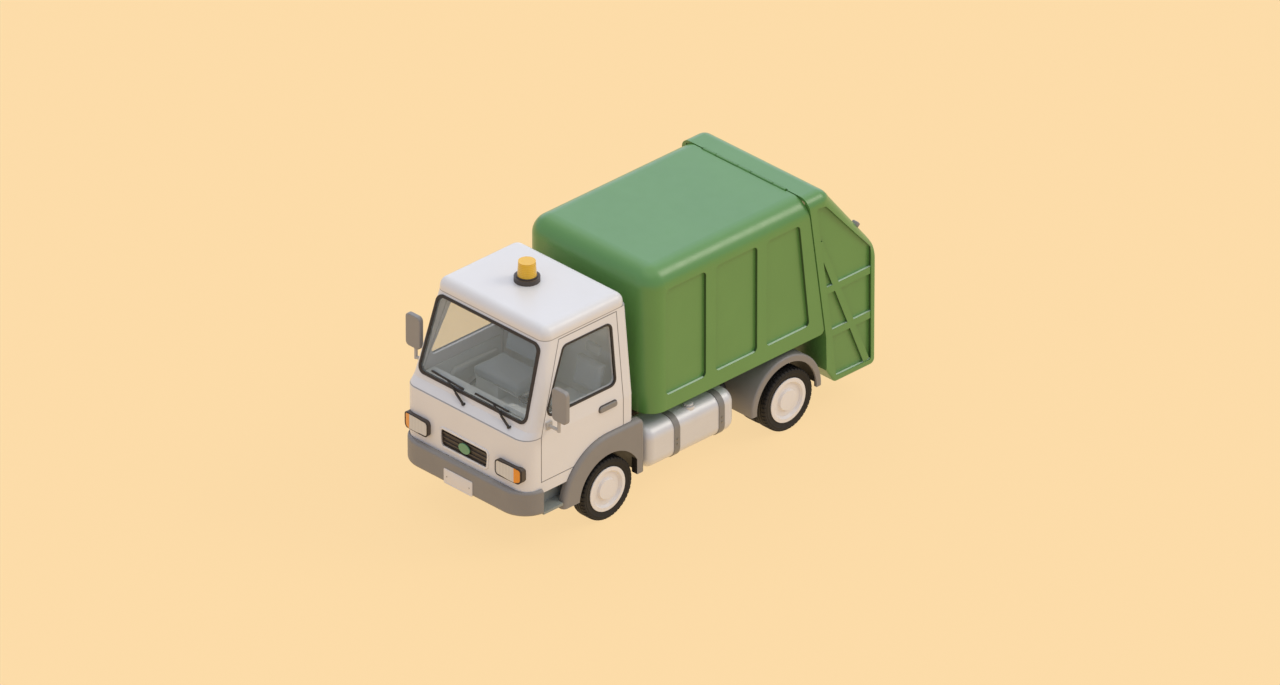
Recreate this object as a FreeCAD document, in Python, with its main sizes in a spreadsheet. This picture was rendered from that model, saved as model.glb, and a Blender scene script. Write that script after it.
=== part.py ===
"""Compact rear-loading refuse truck: the pieces at their real size, in millimetres.

X runs across the truck (+X is its left side), Y runs from the front to the rear, Z is up and the
ground is Z = 0. The origin is under the middle of the truck's length and width. Driving sizes sit
in the sheet; every other size and place is worked out from them.
"""
import FreeCAD, Part
import Sketcher
import math
import os

Vector = FreeCAD.Vector
doc = FreeCAD.newDocument("refuse_truck")

# ---------------------------------------------------------------------------------------------
# Driving sizes: name, millimetres (or degrees), what it is
# ---------------------------------------------------------------------------------------------
SIZES = [
    ("front_overhang", 1350, "front axle to the face of the number plate"),
    ("wheelbase", 2840, "front axle to rear axle"),
    ("rear_overhang", 1345, "rear axle to the back of the tailgate"),
    ("panel_gap", 6, "seam between two panels"),
    ("moving_gap", 8, "between a moving piece and its neighbour"),
    ("fit", 0.3, "between two pieces that seat on each other"),
    ("pin_clearance", 0.5, "radial gap of a turning pin"),
    # wheels
    ("tyre_radius", 385, "outside of the tread"),
    ("tyre_width", 205, "across one tyre"),
    ("tyre_shoulder", 24, "rounding of the tread's edge"),
    ("twin_gap", 30, "between the two tyres of a rear twin"),
    ("wheel_face", 1000, "middle of the truck to the outer face of a tyre"),
    ("rim_radius", 273, "rim flange"),
    ("rim_seat", 258, "where the tyre sits"),
    ("rim_wall", 18, "thickness of the rim's barrel"),
    ("dish_radius", 205, "hollow in the face of the disc"),
    ("boss_radius", 122, "raised middle of the disc"),
    ("dish_depth", 34, "depth of that hollow"),
    ("disc_thickness", 20, "wheel disc"),
    ("hub_radius", 62, "hub behind the disc"),
    ("hub_length", 38, "hub behind the disc"),
    # running gear
    ("kingpin_x", 830, "middle of the truck to a kingpin"),
    ("kingpin_radius", 20, "kingpin"),
    ("kingpin_eye", 44, "outer radius of the axle's eye"),
    ("spindle_radius", 30, "stub axle inside the hub"),
    ("rail_outer", 420, "middle to the outer face of a frame rail"),
    ("rail_flange", 75, "width of the rail's channel"),
    ("rail_wall", 10, "thickness of the rail"),
    ("rail_bottom", 690, "underside of the frame"),
    ("rail_top", 900, "top of the frame"),
    ("rail_front", 1180, "front axle to the rails' front ends"),
    ("rail_rear", 540, "rear axle to the rails' rear ends"),
    ("tow_setback", 90, "face of the nose to the eye's bore"),
    ("tow_drop", 45, "foot of the bumper to the eye's bore"),
    ("tow_bore", 20, "radius of the recovery eyes at the front"),
    ("tow_lug", 24, "thickness of a recovery eye"),
    # cab
    ("cab_half_width", 993, "middle to the door skin"),
    ("cab_top_half_width", 878, "middle to the side of the roof seam"),
    ("cab_bottom", 745, "foot of the nose and of the sill under the door"),
    ("cab_waist", 1460, "top of the upright nose"),
    ("cab_sill", 1545, "foot of the windscreen's slope"),
    ("cab_eaves", 2560, "seam under the roof"),
    ("cab_front", 1262, "front axle to the nose panel"),
    ("cab_slope_front", 1168, "front axle to the windscreen's foot"),
    ("cab_eaves_front", 858, "front axle to the roof's front edge"),
    ("cab_back", 420, "front axle to the back wall"),
    ("cab_wall", 50, "thickness of the cab's walls and doors"),
    ("cab_corner", 190, "rounding of the nose's corners"),
    ("cab_top_corner", 120, "rounding of the roof's corners"),
    ("roof_height", 150, "roof above its seam"),
    ("roof_round", 118, "rounding of the roof's edge"),
    ("roof_skin", 30, "thickness of the roof"),
    ("floor_bottom", 1000, "underside of the cab floor"),
    ("floor_thickness", 40, "cab floor"),
    ("glass", 8, "thickness of every pane"),
    ("screen_bottom", 1605, "foot of the windscreen's opening"),
    ("screen_top", 2530, "head of the windscreen's opening"),
    ("screen_half_bottom", 876, "half width of the opening at its foot"),
    ("screen_half_top", 824, "half width of the opening at its head"),
    ("screen_round", 100, "rounding of the opening's corners"),
    ("gasket_width", 34, "rubber seal seen from the front"),
    ("gasket_depth", 44, "rubber seal through the cab's skin"),
    ("gasket_proud", 12, "rubber seal in front of the skin"),
    ("door_front", 1030, "front axle to the door's front edge"),
    ("door_top_front", 650, "front axle to the door's front edge at the roof"),
    ("door_back", 245, "front axle to the door's rear edge"),
    ("door_bottom", 892, "foot of the door"),
    ("door_top", 2528, "head of the door"),
    ("window_bottom", 1680, "foot of the door's window"),
    ("window_top", 2420, "head of the door's window"),
    ("window_back", 145, "front axle to the window's rear edge"),
    ("window_front", 930, "front axle to the window's front edge"),
    ("window_top_front", 580, "front axle to its front edge at the head"),
    ("window_round", 70, "rounding of the window's corners"),
    # nose
    ("grille_half_width", 380, "opening in the nose"),
    ("grille_bottom", 905, "foot of that opening"),
    ("grille_top", 1125, "head of that opening"),
    ("grille_round", 45, "rounding of its corners"),
    ("grille_taper", 22, "how much narrower its foot is, each side"),
    ("badge_half_width", 90, "the blank badge, across"),
    ("badge_half_height", 64, "the blank badge, upright"),
    ("mirror_middle", 1902, "height of the mirror's middle"),
    ("mirror_half_height", 208, "half the height of a mirror"),
    ("handle_bottom", 1418, "foot of the door handle"),
    ("handle_top", 1486, "top of the door handle"),
    ("hinge_leaf", 80, "height of a door hinge's leaf"),
    ("grille_rim", 24, "raised lip round the opening"),
    ("lamp_inner", 542, "middle to the headlamp's inner edge"),
    ("lamp_split", 840, "middle to the joint of lens and indicator"),
    ("lamp_outer", 935, "middle to the headlamp's outer edge"),
    ("lamp_bottom", 935, "foot of the headlamp"),
    ("lamp_top", 1134, "head of the headlamp"),
    ("lamp_round", 52, "rounding of the headlamp's corners"),
    ("lamp_proud", 44, "lamp housing in front of the nose"),
    ("lamp_rim", 9, "edge of the housing that shows round the lens"),
    # outside the cab
    ("arch_radius", 480, "front wheel arch"),
    ("arch_back", 420, "front axle to the rear edge of the fender's opening"),
    ("fender_top", 1112, "level top of the fender"),
    ("fender_back", 540, "front axle to the fender's rear end"),
    ("fender_face", 1040, "middle to the fender's outer face"),
    ("fender_band", 90, "depth of the outer lip"),
    ("fender_edge", 52, "rounding of the lip's outer edge"),
    ("fender_corner", 84, "rounding of its rear top corner"),
    ("fender_bottom", 425, "foot of the fender"),
    ("liner_wall", 12, "arch liner"),
    ("liner_inner", 640, "middle to the inner edge of the arch liner"),
    ("guard_radius", 555, "rear mudguard"),
    ("guard_lip", 82, "rim that closes its outer side"),
    ("guard_lip_depth", 42, "thickness of that rim"),
    ("guard_ahead", 62, "mudguard's middle ahead of the axle"),
    ("guard_above", 45, "mudguard's middle above the axle"),
    ("guard_skin", 14, "mudguard's sheet"),
    ("guard_face", 1035, "middle to the mudguard's outer face"),
    ("guard_bottom", 408, "foot of the mudguard"),
    ("bumper_half_width", 1046, "middle to the bumper's end"),
    ("bumper_front", 1340, "front axle to the bumper's face"),
    ("bumper_back", 1038, "front axle to the bumper's rear ends"),
    ("bumper_bottom", 500, "foot of the bumper"),
    ("bumper_top", 818, "head of the bumper"),
    ("bumper_corner", 345, "rounding of its corners in plan"),
    ("bumper_edge", 40, "rounding of its long edges"),
    ("tank_front", 600, "front axle to the fuel tank"),
    ("tank_back", 1980, "front axle to the tank's rear end"),
    ("tank_bottom", 362, "foot of the tank"),
    ("tank_top", 886, "top of the tank"),
    ("tank_outer", 1026, "middle to the tank's outer side"),
    ("tank_inner", 545, "middle to the tank's inner side"),
    ("tank_round", 150, "rounding of the tank's section"),
    ("tank_end_round", 110, "rounding of the tank's ends"),
    ("tank_cap", 50, "radius of the filler cap"),
    ("strap_width", 85, "tank strap"),
    ("strap", 9, "thickness of a tank strap"),
    # refuse body
    ("box_front", 640, "front axle to the refuse body"),
    ("box_half_width", 1020, "middle to the body's side"),
    ("box_bottom", 1050, "underside of the body"),
    ("box_top", 2862, "roof of the body"),
    ("box_round", 242, "rounding of the roof's edges"),
    ("box_foot_round", 60, "rounding of the rear bottom corners"),
    ("box_wall", 62, "side walls"),
    ("box_skin", 30, "roof, floor and front wall"),
    ("panel_recess", 36, "depth of the side panels"),
    ("panel_bottom", 1240, "foot of the side panels"),
    ("panel_top", 2600, "head of the side panels"),
    ("panel_corner", 60, "rounding of the side panels"),
    ("seam_top", 3114, "front axle to the tailgate seam at roof level"),
    ("seam_slope", 0.15, "how far the seam runs back for each unit down"),
    # tailgate and packer
    ("gate_half_width", 1030, "middle to the tailgate's side"),
    ("gate_raise", 8, "tailgate roof above the body's"),
    ("gate_side", 80, "tailgate side walls"),
    ("gate_skin", 30, "tailgate roof, slope and rear"),
    ("gate_bottom", 350, "underside of the hopper"),
    ("gate_round", 150, "rounding of the tailgate's roof edges"),
    ("gate_foot_round", 68, "rounding of the hopper's bottom corners"),
    ("gate_break_round", 150, "rounding where the tailgate's roof turns down"),
    ("gate_recess", 42, "depth of the side panel"),
    ("carrier_lean", 20, "degrees off vertical"),
    ("carrier_back", 620, "blade's pivot to the truck's rear face"),
    ("carrier_foot", 1820, "height of the blade's pivot"),
    ("blade_length", 610, "pivot to the blade's tip"),
    ("blade_lean", 30, "degrees, at rest"),
    ("blade_pin", 16, "blade's pivot pin"),
    ("hinge_radius", 16, "tailgate hinge knuckles"),
    ("hinge_pin", 8, "tailgate hinge pin"),
]

sheet = doc.addObject("Spreadsheet::Sheet", "sizes")
for row, (alias, amount, meaning) in enumerate(SIZES, 1):
    sheet.set("A%d" % row, alias)
    sheet.set("B%d" % row, str(amount))
    sheet.set("C%d" % row, meaning)
    sheet.setAlias("B%d" % row, alias)
doc.recompute()


class Size(float):
    """A number that also remembers the sheet formula it came from."""

    def __new__(cls, number, formula=None):
        made = float.__new__(cls, number)
        made.formula = formula or "%.9g" % number
        return made

    def joined(self, sign, other, number, swap=False):
        pair = (self.formula, Size.of(other).formula)
        left, right = reversed(pair) if swap else pair
        return Size(number, "(%s %s %s)" % (left, sign, right))

    @staticmethod
    def of(number):
        return number if isinstance(number, Size) else Size(number)

    def __add__(self, other):
        return self.joined("+", other, float(self) + float(other))

    def __radd__(self, other):
        return self.joined("+", other, float(self) + float(other), swap=True)

    def __sub__(self, other):
        return self.joined("-", other, float(self) - float(other))

    def __rsub__(self, other):
        return self.joined("-", other, float(other) - float(self), swap=True)

    def __mul__(self, other):
        return self.joined("*", other, float(self) * float(other))

    def __rmul__(self, other):
        return self.joined("*", other, float(self) * float(other), swap=True)

    def __truediv__(self, other):
        return self.joined("/", other, float(self) / float(other))

    def __neg__(self):
        return Size(-float(self), "(0 - %s)" % self.formula)


def size(alias):
    return Size(float(sheet.get(alias)), "sizes." + alias)


# ---------------------------------------------------------------------------------------------
# Ways of making a piece
# ---------------------------------------------------------------------------------------------
nodes = {}


def bind(thing, path, amount):
    thing.setExpression(path, Size.of(amount).formula)


def place(thing, x=0, y=0, z=0):
    for axis, amount in zip("xyz", (x, y, z)):
        bind(thing, "Placement.Base." + axis, amount)
    return thing


def turned(thing, axis, degrees):
    thing.Placement = FreeCAD.Placement(thing.Placement.Base, FreeCAD.Rotation(axis, degrees))
    return thing


def block(name, x, y, z):
    """A box between two values along each axis."""
    made = doc.addObject("Part::Box", name)
    for side, (low, high) in zip(("Length", "Width", "Height"), (x, y, z)):
        bind(made, side, high - low)
    return place(made, x[0], y[0], z[0])


def rod(name, along, radius, start, end, at):
    """A cylinder along one axis from start to end, at = its two other coordinates."""
    made = doc.addObject("Part::Cylinder", name)
    bind(made, "Radius", radius)
    bind(made, "Height", end - start)
    if along == "x":
        turned(made, Vector(0, 1, 0), 90)
        return place(made, start, at[0], at[1])
    if along == "y":
        turned(made, Vector(1, 0, 0), -90)
        return place(made, at[0], start, at[1])
    return place(made, at[0], at[1], start)


PLANES = {"x": "YZ_Plane", "y": "XZ_Plane", "z": "XY_Plane"}


def sketch(body, name, along, start, points):
    """A closed outline of straight lines, square to one axis, each corner held by the sheet."""
    plane = [item for item in body.Origin.OriginFeatures if item.Role == PLANES[along]][0]
    made = body.newObject("Sketcher::SketchObject", name)
    made.AttachmentSupport = (plane, [""])
    made.MapMode = "FlatFace"
    bind(made, "AttachmentOffset.Base.z", -start if along == "y" else start)
    corners = [Vector(float(u), float(v), 0) for u, v in points]
    count = len(corners)
    for index in range(count):
        made.addGeometry(Part.LineSegment(corners[index], corners[(index + 1) % count]), False)
    for index in range(count):
        made.addConstraint(Sketcher.Constraint("Coincident", index, 2, (index + 1) % count, 1))
    for index, (u, v) in enumerate(points):
        for kind, amount in (("DistanceX", u), ("DistanceY", v)):
            held = made.addConstraint(Sketcher.Constraint(kind, -1, 1, index, 1, float(amount)))
            bind(made, "Constraints[%d]" % held, amount)
    return made


def prism(name, along, start, end, points, rounds=()):
    """A pad of an outline from start to end. rounds = (test of an edge, radius) pairs."""
    body = doc.addObject("PartDesign::Body", name)
    outline = sketch(body, name + "_outline", along, Size.of(start), points)
    pad = body.newObject("PartDesign::Pad", name + "_pad")
    pad.Profile = outline
    bind(pad, "Length", Size.of(end) - start)
    pad.Reversed = along == "y"
    doc.recompute()
    soften(body, rounds)
    return body


def soften(body, rounds):
    """Round the edges of a body that a test picks, one radius at a time."""
    for number, (test, radius) in enumerate(rounds):
        tip = body.Tip
        edges = ["Edge%d" % (index + 1) for index, edge in enumerate(tip.Shape.Edges) if test(edge)]
        if not edges:
            raise ValueError("%s: no edge to round" % body.Label)
        fillet = body.newObject("PartDesign::Fillet", body.Name + "_round%d" % number)
        fillet.Base = (tip, edges)
        bind(fillet, "Radius", radius)
        doc.recompute()


def turned_ring(name, centre_y, centre_z, points, rounds=()):
    """A revolution about an axis along X: points are (x, radius)."""
    body = doc.addObject("PartDesign::Body", name)
    outline = sketch(body, name + "_outline", "y", Size(0), points)
    made = body.newObject("PartDesign::Revolution", name + "_turn")
    made.Profile = outline
    made.ReferenceAxis = (outline, ["H_Axis"])
    made.Angle = 360
    doc.recompute()
    soften(body, rounds)
    return place(body, 0, centre_y, centre_z)


def cut(name, base, *tools):
    made = doc.addObject("Part::Cut", name)
    made.Base = base
    made.Tool = tools[0] if len(tools) == 1 else fuse(name + "_tools", *tools)
    return made


def fuse(name, *parts):
    made = doc.addObject("Part::MultiFuse", name)
    made.Shapes = list(parts)
    return made


def common(name, *parts):
    made = doc.addObject("Part::MultiCommon", name)
    made.Shapes = list(parts)
    return made


def together(name, *parts):
    """Several solids that share a node and don't touch."""
    made = doc.addObject("Part::Compound", name)
    made.Links = list(parts)
    return made


def mirrored(name, source):
    made = doc.addObject("Part::Mirroring", name)
    made.Source = source
    made.Normal = Vector(1, 0, 0)
    return made


def pair(name, left):
    return together(name, left, mirrored(name + "_right", left))


def node(name, made):
    """Name the finished piece: its label is its node and its file."""
    made.Label = name
    nodes[name] = made
    return made


def runs(axis):
    """Test for a straight edge along an axis."""
    def test(edge):
        if not isinstance(edge.Curve, Part.Line):
            return False
        return abs(abs(edge.Curve.Direction[axis]) - 1) < 1e-6
    return test


def near(edge, axis, amount, reach=2.0):
    return abs(edge.CenterOfMass[axis] - float(amount)) < reach


def flat_at(axis, amount):
    """Test for an edge that lies wholly in one plane square to an axis."""
    def test(edge):
        box = edge.BoundBox
        low = (box.XMin, box.YMin, box.ZMin)[axis]
        high = (box.XMax, box.YMax, box.ZMax)[axis]
        return abs(low - float(amount)) < 0.5 and abs(high - float(amount)) < 0.5
    return test


# ---------------------------------------------------------------------------------------------
# Stations along the truck
# ---------------------------------------------------------------------------------------------
front_axle = (size("front_overhang") - size("wheelbase") - size("rear_overhang")) / 2
rear_axle = front_axle + size("wheelbase")
tyre_radius = size("tyre_radius")
tyre_width = size("tyre_width")
wheel_face = size("wheel_face")
gap = size("moving_gap")


# ---------------------------------------------------------------------------------------------
# Wheels: a tyre on a dished rim; a rear wheel is a twin on one hub
# ---------------------------------------------------------------------------------------------
LIP_SHARE = 0.7  # a rim's lip is this much of its barrel's thickness


def tyre(name, face, axle):
    """One tyre whose outer side wall is at x = face."""
    foot = size("rim_seat") + size("fit")
    bead = size("rim_radius") + size("fit")
    inset = size("rim_wall") * LIP_SHARE + size("fit")
    bulge = tyre_width * 0.08
    back = face - tyre_width
    points = [(back + inset, foot), (back + inset, bead), (back, bead + bulge), (back, tyre_radius),
              (face, tyre_radius), (face, bead + bulge), (face - inset, bead), (face - inset, foot)]
    return turned_ring(name, axle, tyre_radius, points,
                       [(lambda edge: edge.BoundBox.ZLength > 2 * float(tyre_radius) - 1
                         and edge.BoundBox.XLength < 1, size("tyre_shoulder"))])


def rim(name, face, axle, width):
    """A dished rim: flange, well, disc with a raised boss, and a hub bored for its spindle."""
    flange, seat = size("rim_radius"), size("rim_seat")
    well = seat - size("rim_wall")
    dish, boss, depth, disc = (size("dish_radius"), size("boss_radius"), size("dish_depth"),
                               size("disc_thickness"))
    lip = size("rim_wall") * LIP_SHARE
    back = face - width
    inside = face - depth - disc
    hub = size("hub_radius")
    bore = size("spindle_radius") + size("pin_clearance")
    hub_back = inside - size("hub_length")
    points = [(hub_back, bore), (hub_back, hub), (inside, hub + 12), (inside, dish), (inside - 14, well),
              (back + 2, well), (back + 2, flange), (back + lip, flange), (back + lip, seat),
              (face - lip, seat), (face - lip, flange), (face - 2, flange), (face - 2, dish + 22),
              (face - depth, dish), (face - depth, boss + 8), (face - 5, boss), (face - 5, 0),
              (inside + 8, 0), (inside + 8, bore)]
    def shown(edge):
        return edge.BoundBox.XLength < 1 and (near(edge, 0, face - 2) or near(edge, 0, face - 5))
    return turned_ring(name, axle, tyre_radius, points, [(shown, Size(4))])


def wheels():
    # side, which end, axle, tyres abreast
    twin = tyre_width + size("twin_gap")
    for end, axle, count in (("front", front_axle, 1), ("rear", rear_axle, 2)):
        tyres = [tyre("%s_tyre%d" % (end, index), wheel_face - twin * index, axle)
                 for index in range(count)]
        width = tyre_width if count == 1 else tyre_width + twin
        wheel = rim(end + "_rim_left", wheel_face, axle, width)
        tyre_left = tyres[0] if count == 1 else together(end + "_tyres", *tyres)
        node(end + "_left_tyre", tyre_left)
        node(end + "_left_rim", wheel)
        node(end + "_right_tyre", mirrored(end + "_tyre_mirror", tyre_left))
        node(end + "_right_rim", mirrored(end + "_rim_mirror", wheel))


# ---------------------------------------------------------------------------------------------
# Running gear: frame, axles, springs, knuckles, engine and propshaft
# ---------------------------------------------------------------------------------------------
def chassis():
    outer, flange, wall = size("rail_outer"), size("rail_flange"), size("rail_wall")
    low, high = size("rail_bottom"), size("rail_top")
    start, end = front_axle - size("rail_front"), rear_axle + size("rail_rear")
    inner = outer - flange
    channel = [(outer, low), (outer, high), (inner, high), (inner, high - wall),
               (outer - wall, high - wall), (outer - wall, low + wall), (inner, low + wall), (inner, low)]
    left = prism("rail_left", "y", start, end, channel)
    right = mirrored("rail_right", left)
    members = []
    # cross-members: place from the front axle, depth along the truck, bottom and top above the rail's foot
    for number, (place_y, depth, foot, head) in enumerate([(-1130, 90, 20, 150), (1010, 80, 95, 190),
                                                           (1500, 80, 20, 180), (2280, 80, 20, 120),
                                                           (3330, 70, 20, 190)]):
        y = front_axle + place_y
        members.append(block("cross_member%d" % number, (-(outer - wall), outer - wall),
                             (y - depth / 2, y + depth / 2), (low + foot, low + head)))
    posts = []
    for number, y in enumerate((front_axle - 1040, front_axle + 300)):
        left_post = block("cab_mount%d" % number, (outer - flange, outer), (y - 45, y + 45),
                          (high, size("floor_bottom")))
        posts += [left_post, mirrored("cab_mount%d_right" % number, left_post)]
    arm = block("bumper_arm", (outer - flange, outer), (front_axle - size("cab_front") - gap, start + 60),
                (size("cab_bottom") - gap - 90, size("cab_bottom") - gap))
    node("chassis_frame", fuse("chassis_all", left, right, *members, *posts, arm,
                               mirrored("bumper_arm_right", arm)))

    # recovery eyes: a round-ended plate under each bumper arm, bored across for a shackle
    y, z = tow_centre()
    x = (outer - flange / 2 - size("tow_lug") / 2, outer - flange / 2 + size("tow_lug") / 2)
    reach = size("tow_bore") + 26
    plate = block("tow_plate", x, (y - reach, y + reach), (z, size("cab_bottom") - gap - 90))
    eye = rod("tow_round", "x", reach, x[0], x[1], (y, z))
    bore = rod("tow_hole", "x", size("tow_bore"), x[0] - 5, x[1] + 5, (y, z))
    lug = cut("tow_eye", fuse("tow_form", plate, eye), bore)
    node("tow_eyes", pair("tow_pair", lug))


def tow_centre():
    """Where a recovery eye is bored: along the truck and above the ground."""
    return front_axle - size("cab_front") + size("tow_setback"), size("bumper_bottom") - size("tow_drop")


def front_suspension():
    z = tyre_radius
    king, pin = size("kingpin_x"), size("kingpin_radius")
    bore = pin + size("pin_clearance")
    eye_radius = size("kingpin_eye")
    eye_half = 58
    beam = prism("axle_beam", "x", -(king - 30), king - 30,
                 [(front_axle - 38, z - 42), (front_axle + 38, z - 42), (front_axle + 38, z - 26),
                  (front_axle + 12, z - 20), (front_axle + 12, z + 20), (front_axle + 38, z + 26),
                  (front_axle + 38, z + 42), (front_axle - 38, z + 42), (front_axle - 38, z + 26),
                  (front_axle - 12, z + 20), (front_axle - 12, z - 20), (front_axle - 38, z - 26)])
    eye = rod("kingpin_eye", "z", eye_radius, z - eye_half, z + eye_half, (king, front_axle))
    bored = rod("kingpin_bore", "z", bore, z - eye_half - 5, z + eye_half + 5, (king, front_axle))
    pads = block("spring_seat", (Size(430), Size(510)), (front_axle - 60, front_axle + 60),
                 (z + 30, z + 60))
    body = fuse("axle_all", beam, eye, mirrored("eye_right", eye), pads, mirrored("seat_right", pads))
    node("front_axle", cut("front_axle_cut", body, bored, mirrored("bore_right", bored)))

    # knuckle: a fork over the eye, the pin through both, and the stub axle into the hub
    fork_low, fork_high = z - eye_half - 5, z + eye_half + 5
    arm = 26
    yoke = block("yoke", (king + eye_radius + gap, king + eye_radius + gap + 24),
                 (front_axle - 42, front_axle + 42), (fork_low - arm, fork_high + arm))
    arms = [block("fork_%d" % number, (king - 34, king + eye_radius + gap + 10),
                  (front_axle - 34, front_axle + 34), span)
            for number, span in enumerate(((fork_low - arm, fork_low), (fork_high, fork_high + arm)))]
    kingpin = rod("kingpin", "z", pin, fork_low - arm, fork_high + arm, (king, front_axle))
    hub_back = wheel_face - size("dish_depth") - size("disc_thickness") - size("hub_length")
    stub = rod("stub_axle", "x", size("spindle_radius"), king + eye_radius + gap + 5, hub_back + 34,
               (front_axle, z))
    left = node("knuckle_left", fuse("knuckle_all", yoke, *arms, kingpin, stub))
    node("knuckle_right", mirrored("knuckle_mirror", left))


def cone(name, foot, top, height, y, z, turn):
    """A cone on the truck's middle, pointing forward (turn 90) or back (turn -90)."""
    made = doc.addObject("Part::Cone", name)
    made.Radius1 = foot
    made.Radius2 = top
    made.Height = height
    return place(turned(made, Vector(1, 0, 0), turn), 0, y, z)


def rear_suspension():
    z = tyre_radius
    tube_end = wheel_face - size("dish_depth") - size("disc_thickness") - size("hub_length") - gap
    tube = rod("axle_tube", "x", Size(58), -tube_end, tube_end, (rear_axle, z))
    stub_end = wheel_face - size("dish_depth") - size("disc_thickness") - 4
    stub = rod("rear_spindle", "x", size("spindle_radius"), -stub_end, stub_end, (rear_axle, z))
    banjo = rod("banjo", "y", Size(165), rear_axle - 70, rear_axle + 70, (Size(0), z))
    nose = cone("pinion_nose", 130, 62, 250, rear_axle - 70, z, 90)
    cover = cone("banjo_cover", 150, 80, 75, rear_axle + 70, z, -90)
    seat = block("rear_spring_seat", (Size(435), Size(515)), (rear_axle - 70, rear_axle + 70), (z, z + 75))
    node("rear_axle", fuse("rear_axle_all", tube, stub, banjo, nose, cover, seat,
                           mirrored("rear_seat_right", seat)))


def springs():
    """Leaf packs: each leaf a shallow arc, shorter towards the bottom, hung from the rails."""
    packs = []
    # place: axle, seat height above the ground, half length, leaves
    for end, axle, seat, half, leaves in (("front", front_axle, tyre_radius + 60, 560, 4),
                                          ("rear", rear_axle, tyre_radius + 75, 520, 5)):
        thick = 14
        rise = size("rail_bottom") - seat - leaves * thick - 14
        shapes = []
        for leaf in range(leaves):
            reach = half * (1 - 0.17 * (leaves - 1 - leaf))
            low = seat + leaf * thick
            climb = rise * (reach / half) ** 2
            points = [(axle - reach, low + climb), (axle - reach * 0.5, low + climb * 0.25),
                      (axle - 70, low), (axle + 70, low), (axle + reach * 0.5, low + climb * 0.25),
                      (axle + reach, low + climb), (axle + reach, low + climb + thick),
                      (axle + reach * 0.5, low + climb * 0.25 + thick), (axle + 70, low + thick),
                      (axle - 70, low + thick), (axle - reach * 0.5, low + climb * 0.25 + thick),
                      (axle - reach, low + climb + thick)]
            shapes.append(prism("%s_leaf%d" % (end, leaf), "x", Size(440), Size(505), points))
        top = seat + (leaves - 1) * thick + rise
        for side in (-1, 1):
            y = axle + side * (half - 25)
            shapes.append(block("%s_shackle%d" % (end, side + 1), (Size(400), Size(505)), (y - 25, y + 25),
                                (top, size("rail_bottom") + 60)))
        hung = fuse(end + "_pack", *shapes)
        rail = block(end + "_rail_room", (Size(0), size("rail_outer")),
                     (axle - half - 50, axle + half + 50), (size("rail_bottom"), size("rail_top")))
        packs.append(cut(end + "_pack_trim", hung, rail))
    left = together("springs_left", *packs)
    node("leaf_springs", pair("springs_all", left))


def power_train():
    z = tyre_radius
    low = size("rail_bottom") - 120
    engine = block("engine", (Size(-300), Size(300)), (front_axle - 560, front_axle + 330),
                   (low, low + 400))
    bell = rod("bellhousing", "y", Size(190), front_axle + 330, front_axle + 420, (Size(0), low + 160))
    gearbox = block("gearbox_case", (Size(-140), Size(140)), (front_axle + 420, front_axle + 940),
                    (low + 10, low + 300))
    mounts = [block("engine_mount%d" % number, (Size(-345), Size(345)),
                    (front_axle + y - 30, front_axle + y + 30),
                    (size("rail_bottom") + 30, size("rail_bottom") + 80))
              for number, y in enumerate((-420, 250))]
    node("engine_block", fuse("engine_all", engine, bell, gearbox, *mounts))
    radius = 42
    start = Vector(0, float(front_axle + 940), float(low + 150))
    end = Vector(0, float(rear_axle - 320), float(z))
    tilt = Vector(0, 1, 0).getAngle(end - start)
    step = (end - start).normalize() * (radius * math.tan(tilt) + 0.3)
    start, end = start + step, end - step
    shaft = Part.makeCylinder(radius, (end - start).Length, start, end - start)
    made = doc.addObject("Part::Feature", "propshaft_tube")
    made.Shape = shaft
    node("propshaft", made)


# ---------------------------------------------------------------------------------------------
# Cab: a tapered shell split into nose, back, roof, floor and two doors
# ---------------------------------------------------------------------------------------------
def rounded_section(z, front, back, half, front_round, back_round):
    """A level outline of the cab: straight sides and four round corners."""
    arcs = [(half - front_round, front + front_round, front_round, 270),
            (half - back_round, back - back_round, back_round, 0),
            (-half + back_round, back - back_round, back_round, 90),
            (-half + front_round, front + front_round, front_round, 180)]
    def on(x, y, radius, degrees):
        turn = math.radians(degrees)
        return Vector(x + radius * math.cos(turn), y + radius * math.sin(turn), z)
    edges = []
    ends = []
    for x, y, radius, start in arcs:
        points = [on(x, y, radius, start + step) for step in (0, 45, 90)]
        ends.append((points[0], points[2]))
        edges.append(Part.Arc(*points).toShape())
    for index in range(4):
        edges.insert(2 * index + 1, Part.LineSegment(ends[index][1], ends[(index + 1) % 4][0]).toShape())
    return Part.Wire(edges)


def cab_solid(name, inset):
    """The cab's form below the roof seam, its skin moved in by inset."""
    rows = [  # height, front, half width, front corner
        (size("cab_bottom") - (60 if inset else 0), size("cab_front"), size("cab_half_width"),
         size("cab_corner")),
        (size("cab_waist"), size("cab_front"), size("cab_half_width"), size("cab_corner")),
        (size("cab_sill"), size("cab_slope_front"), size("cab_half_width") - 10, size("cab_top_corner") + 20),
        (size("cab_eaves") + (5 if inset else 0), size("cab_eaves_front"), size("cab_top_half_width"),
         size("cab_top_corner"))]
    wires = []
    for height, front, half, corner in rows:
        wires.append(rounded_section(float(height), float(front_axle - front) + inset,
                                     float(front_axle + size("cab_back")) - inset, float(half) - inset,
                                     float(corner) - inset * 0.7, 80 - inset * 0.7))
    made = doc.addObject("Part::Feature", name)
    made.Shape = Part.makeLoft(wires, True, True)
    return made


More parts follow.
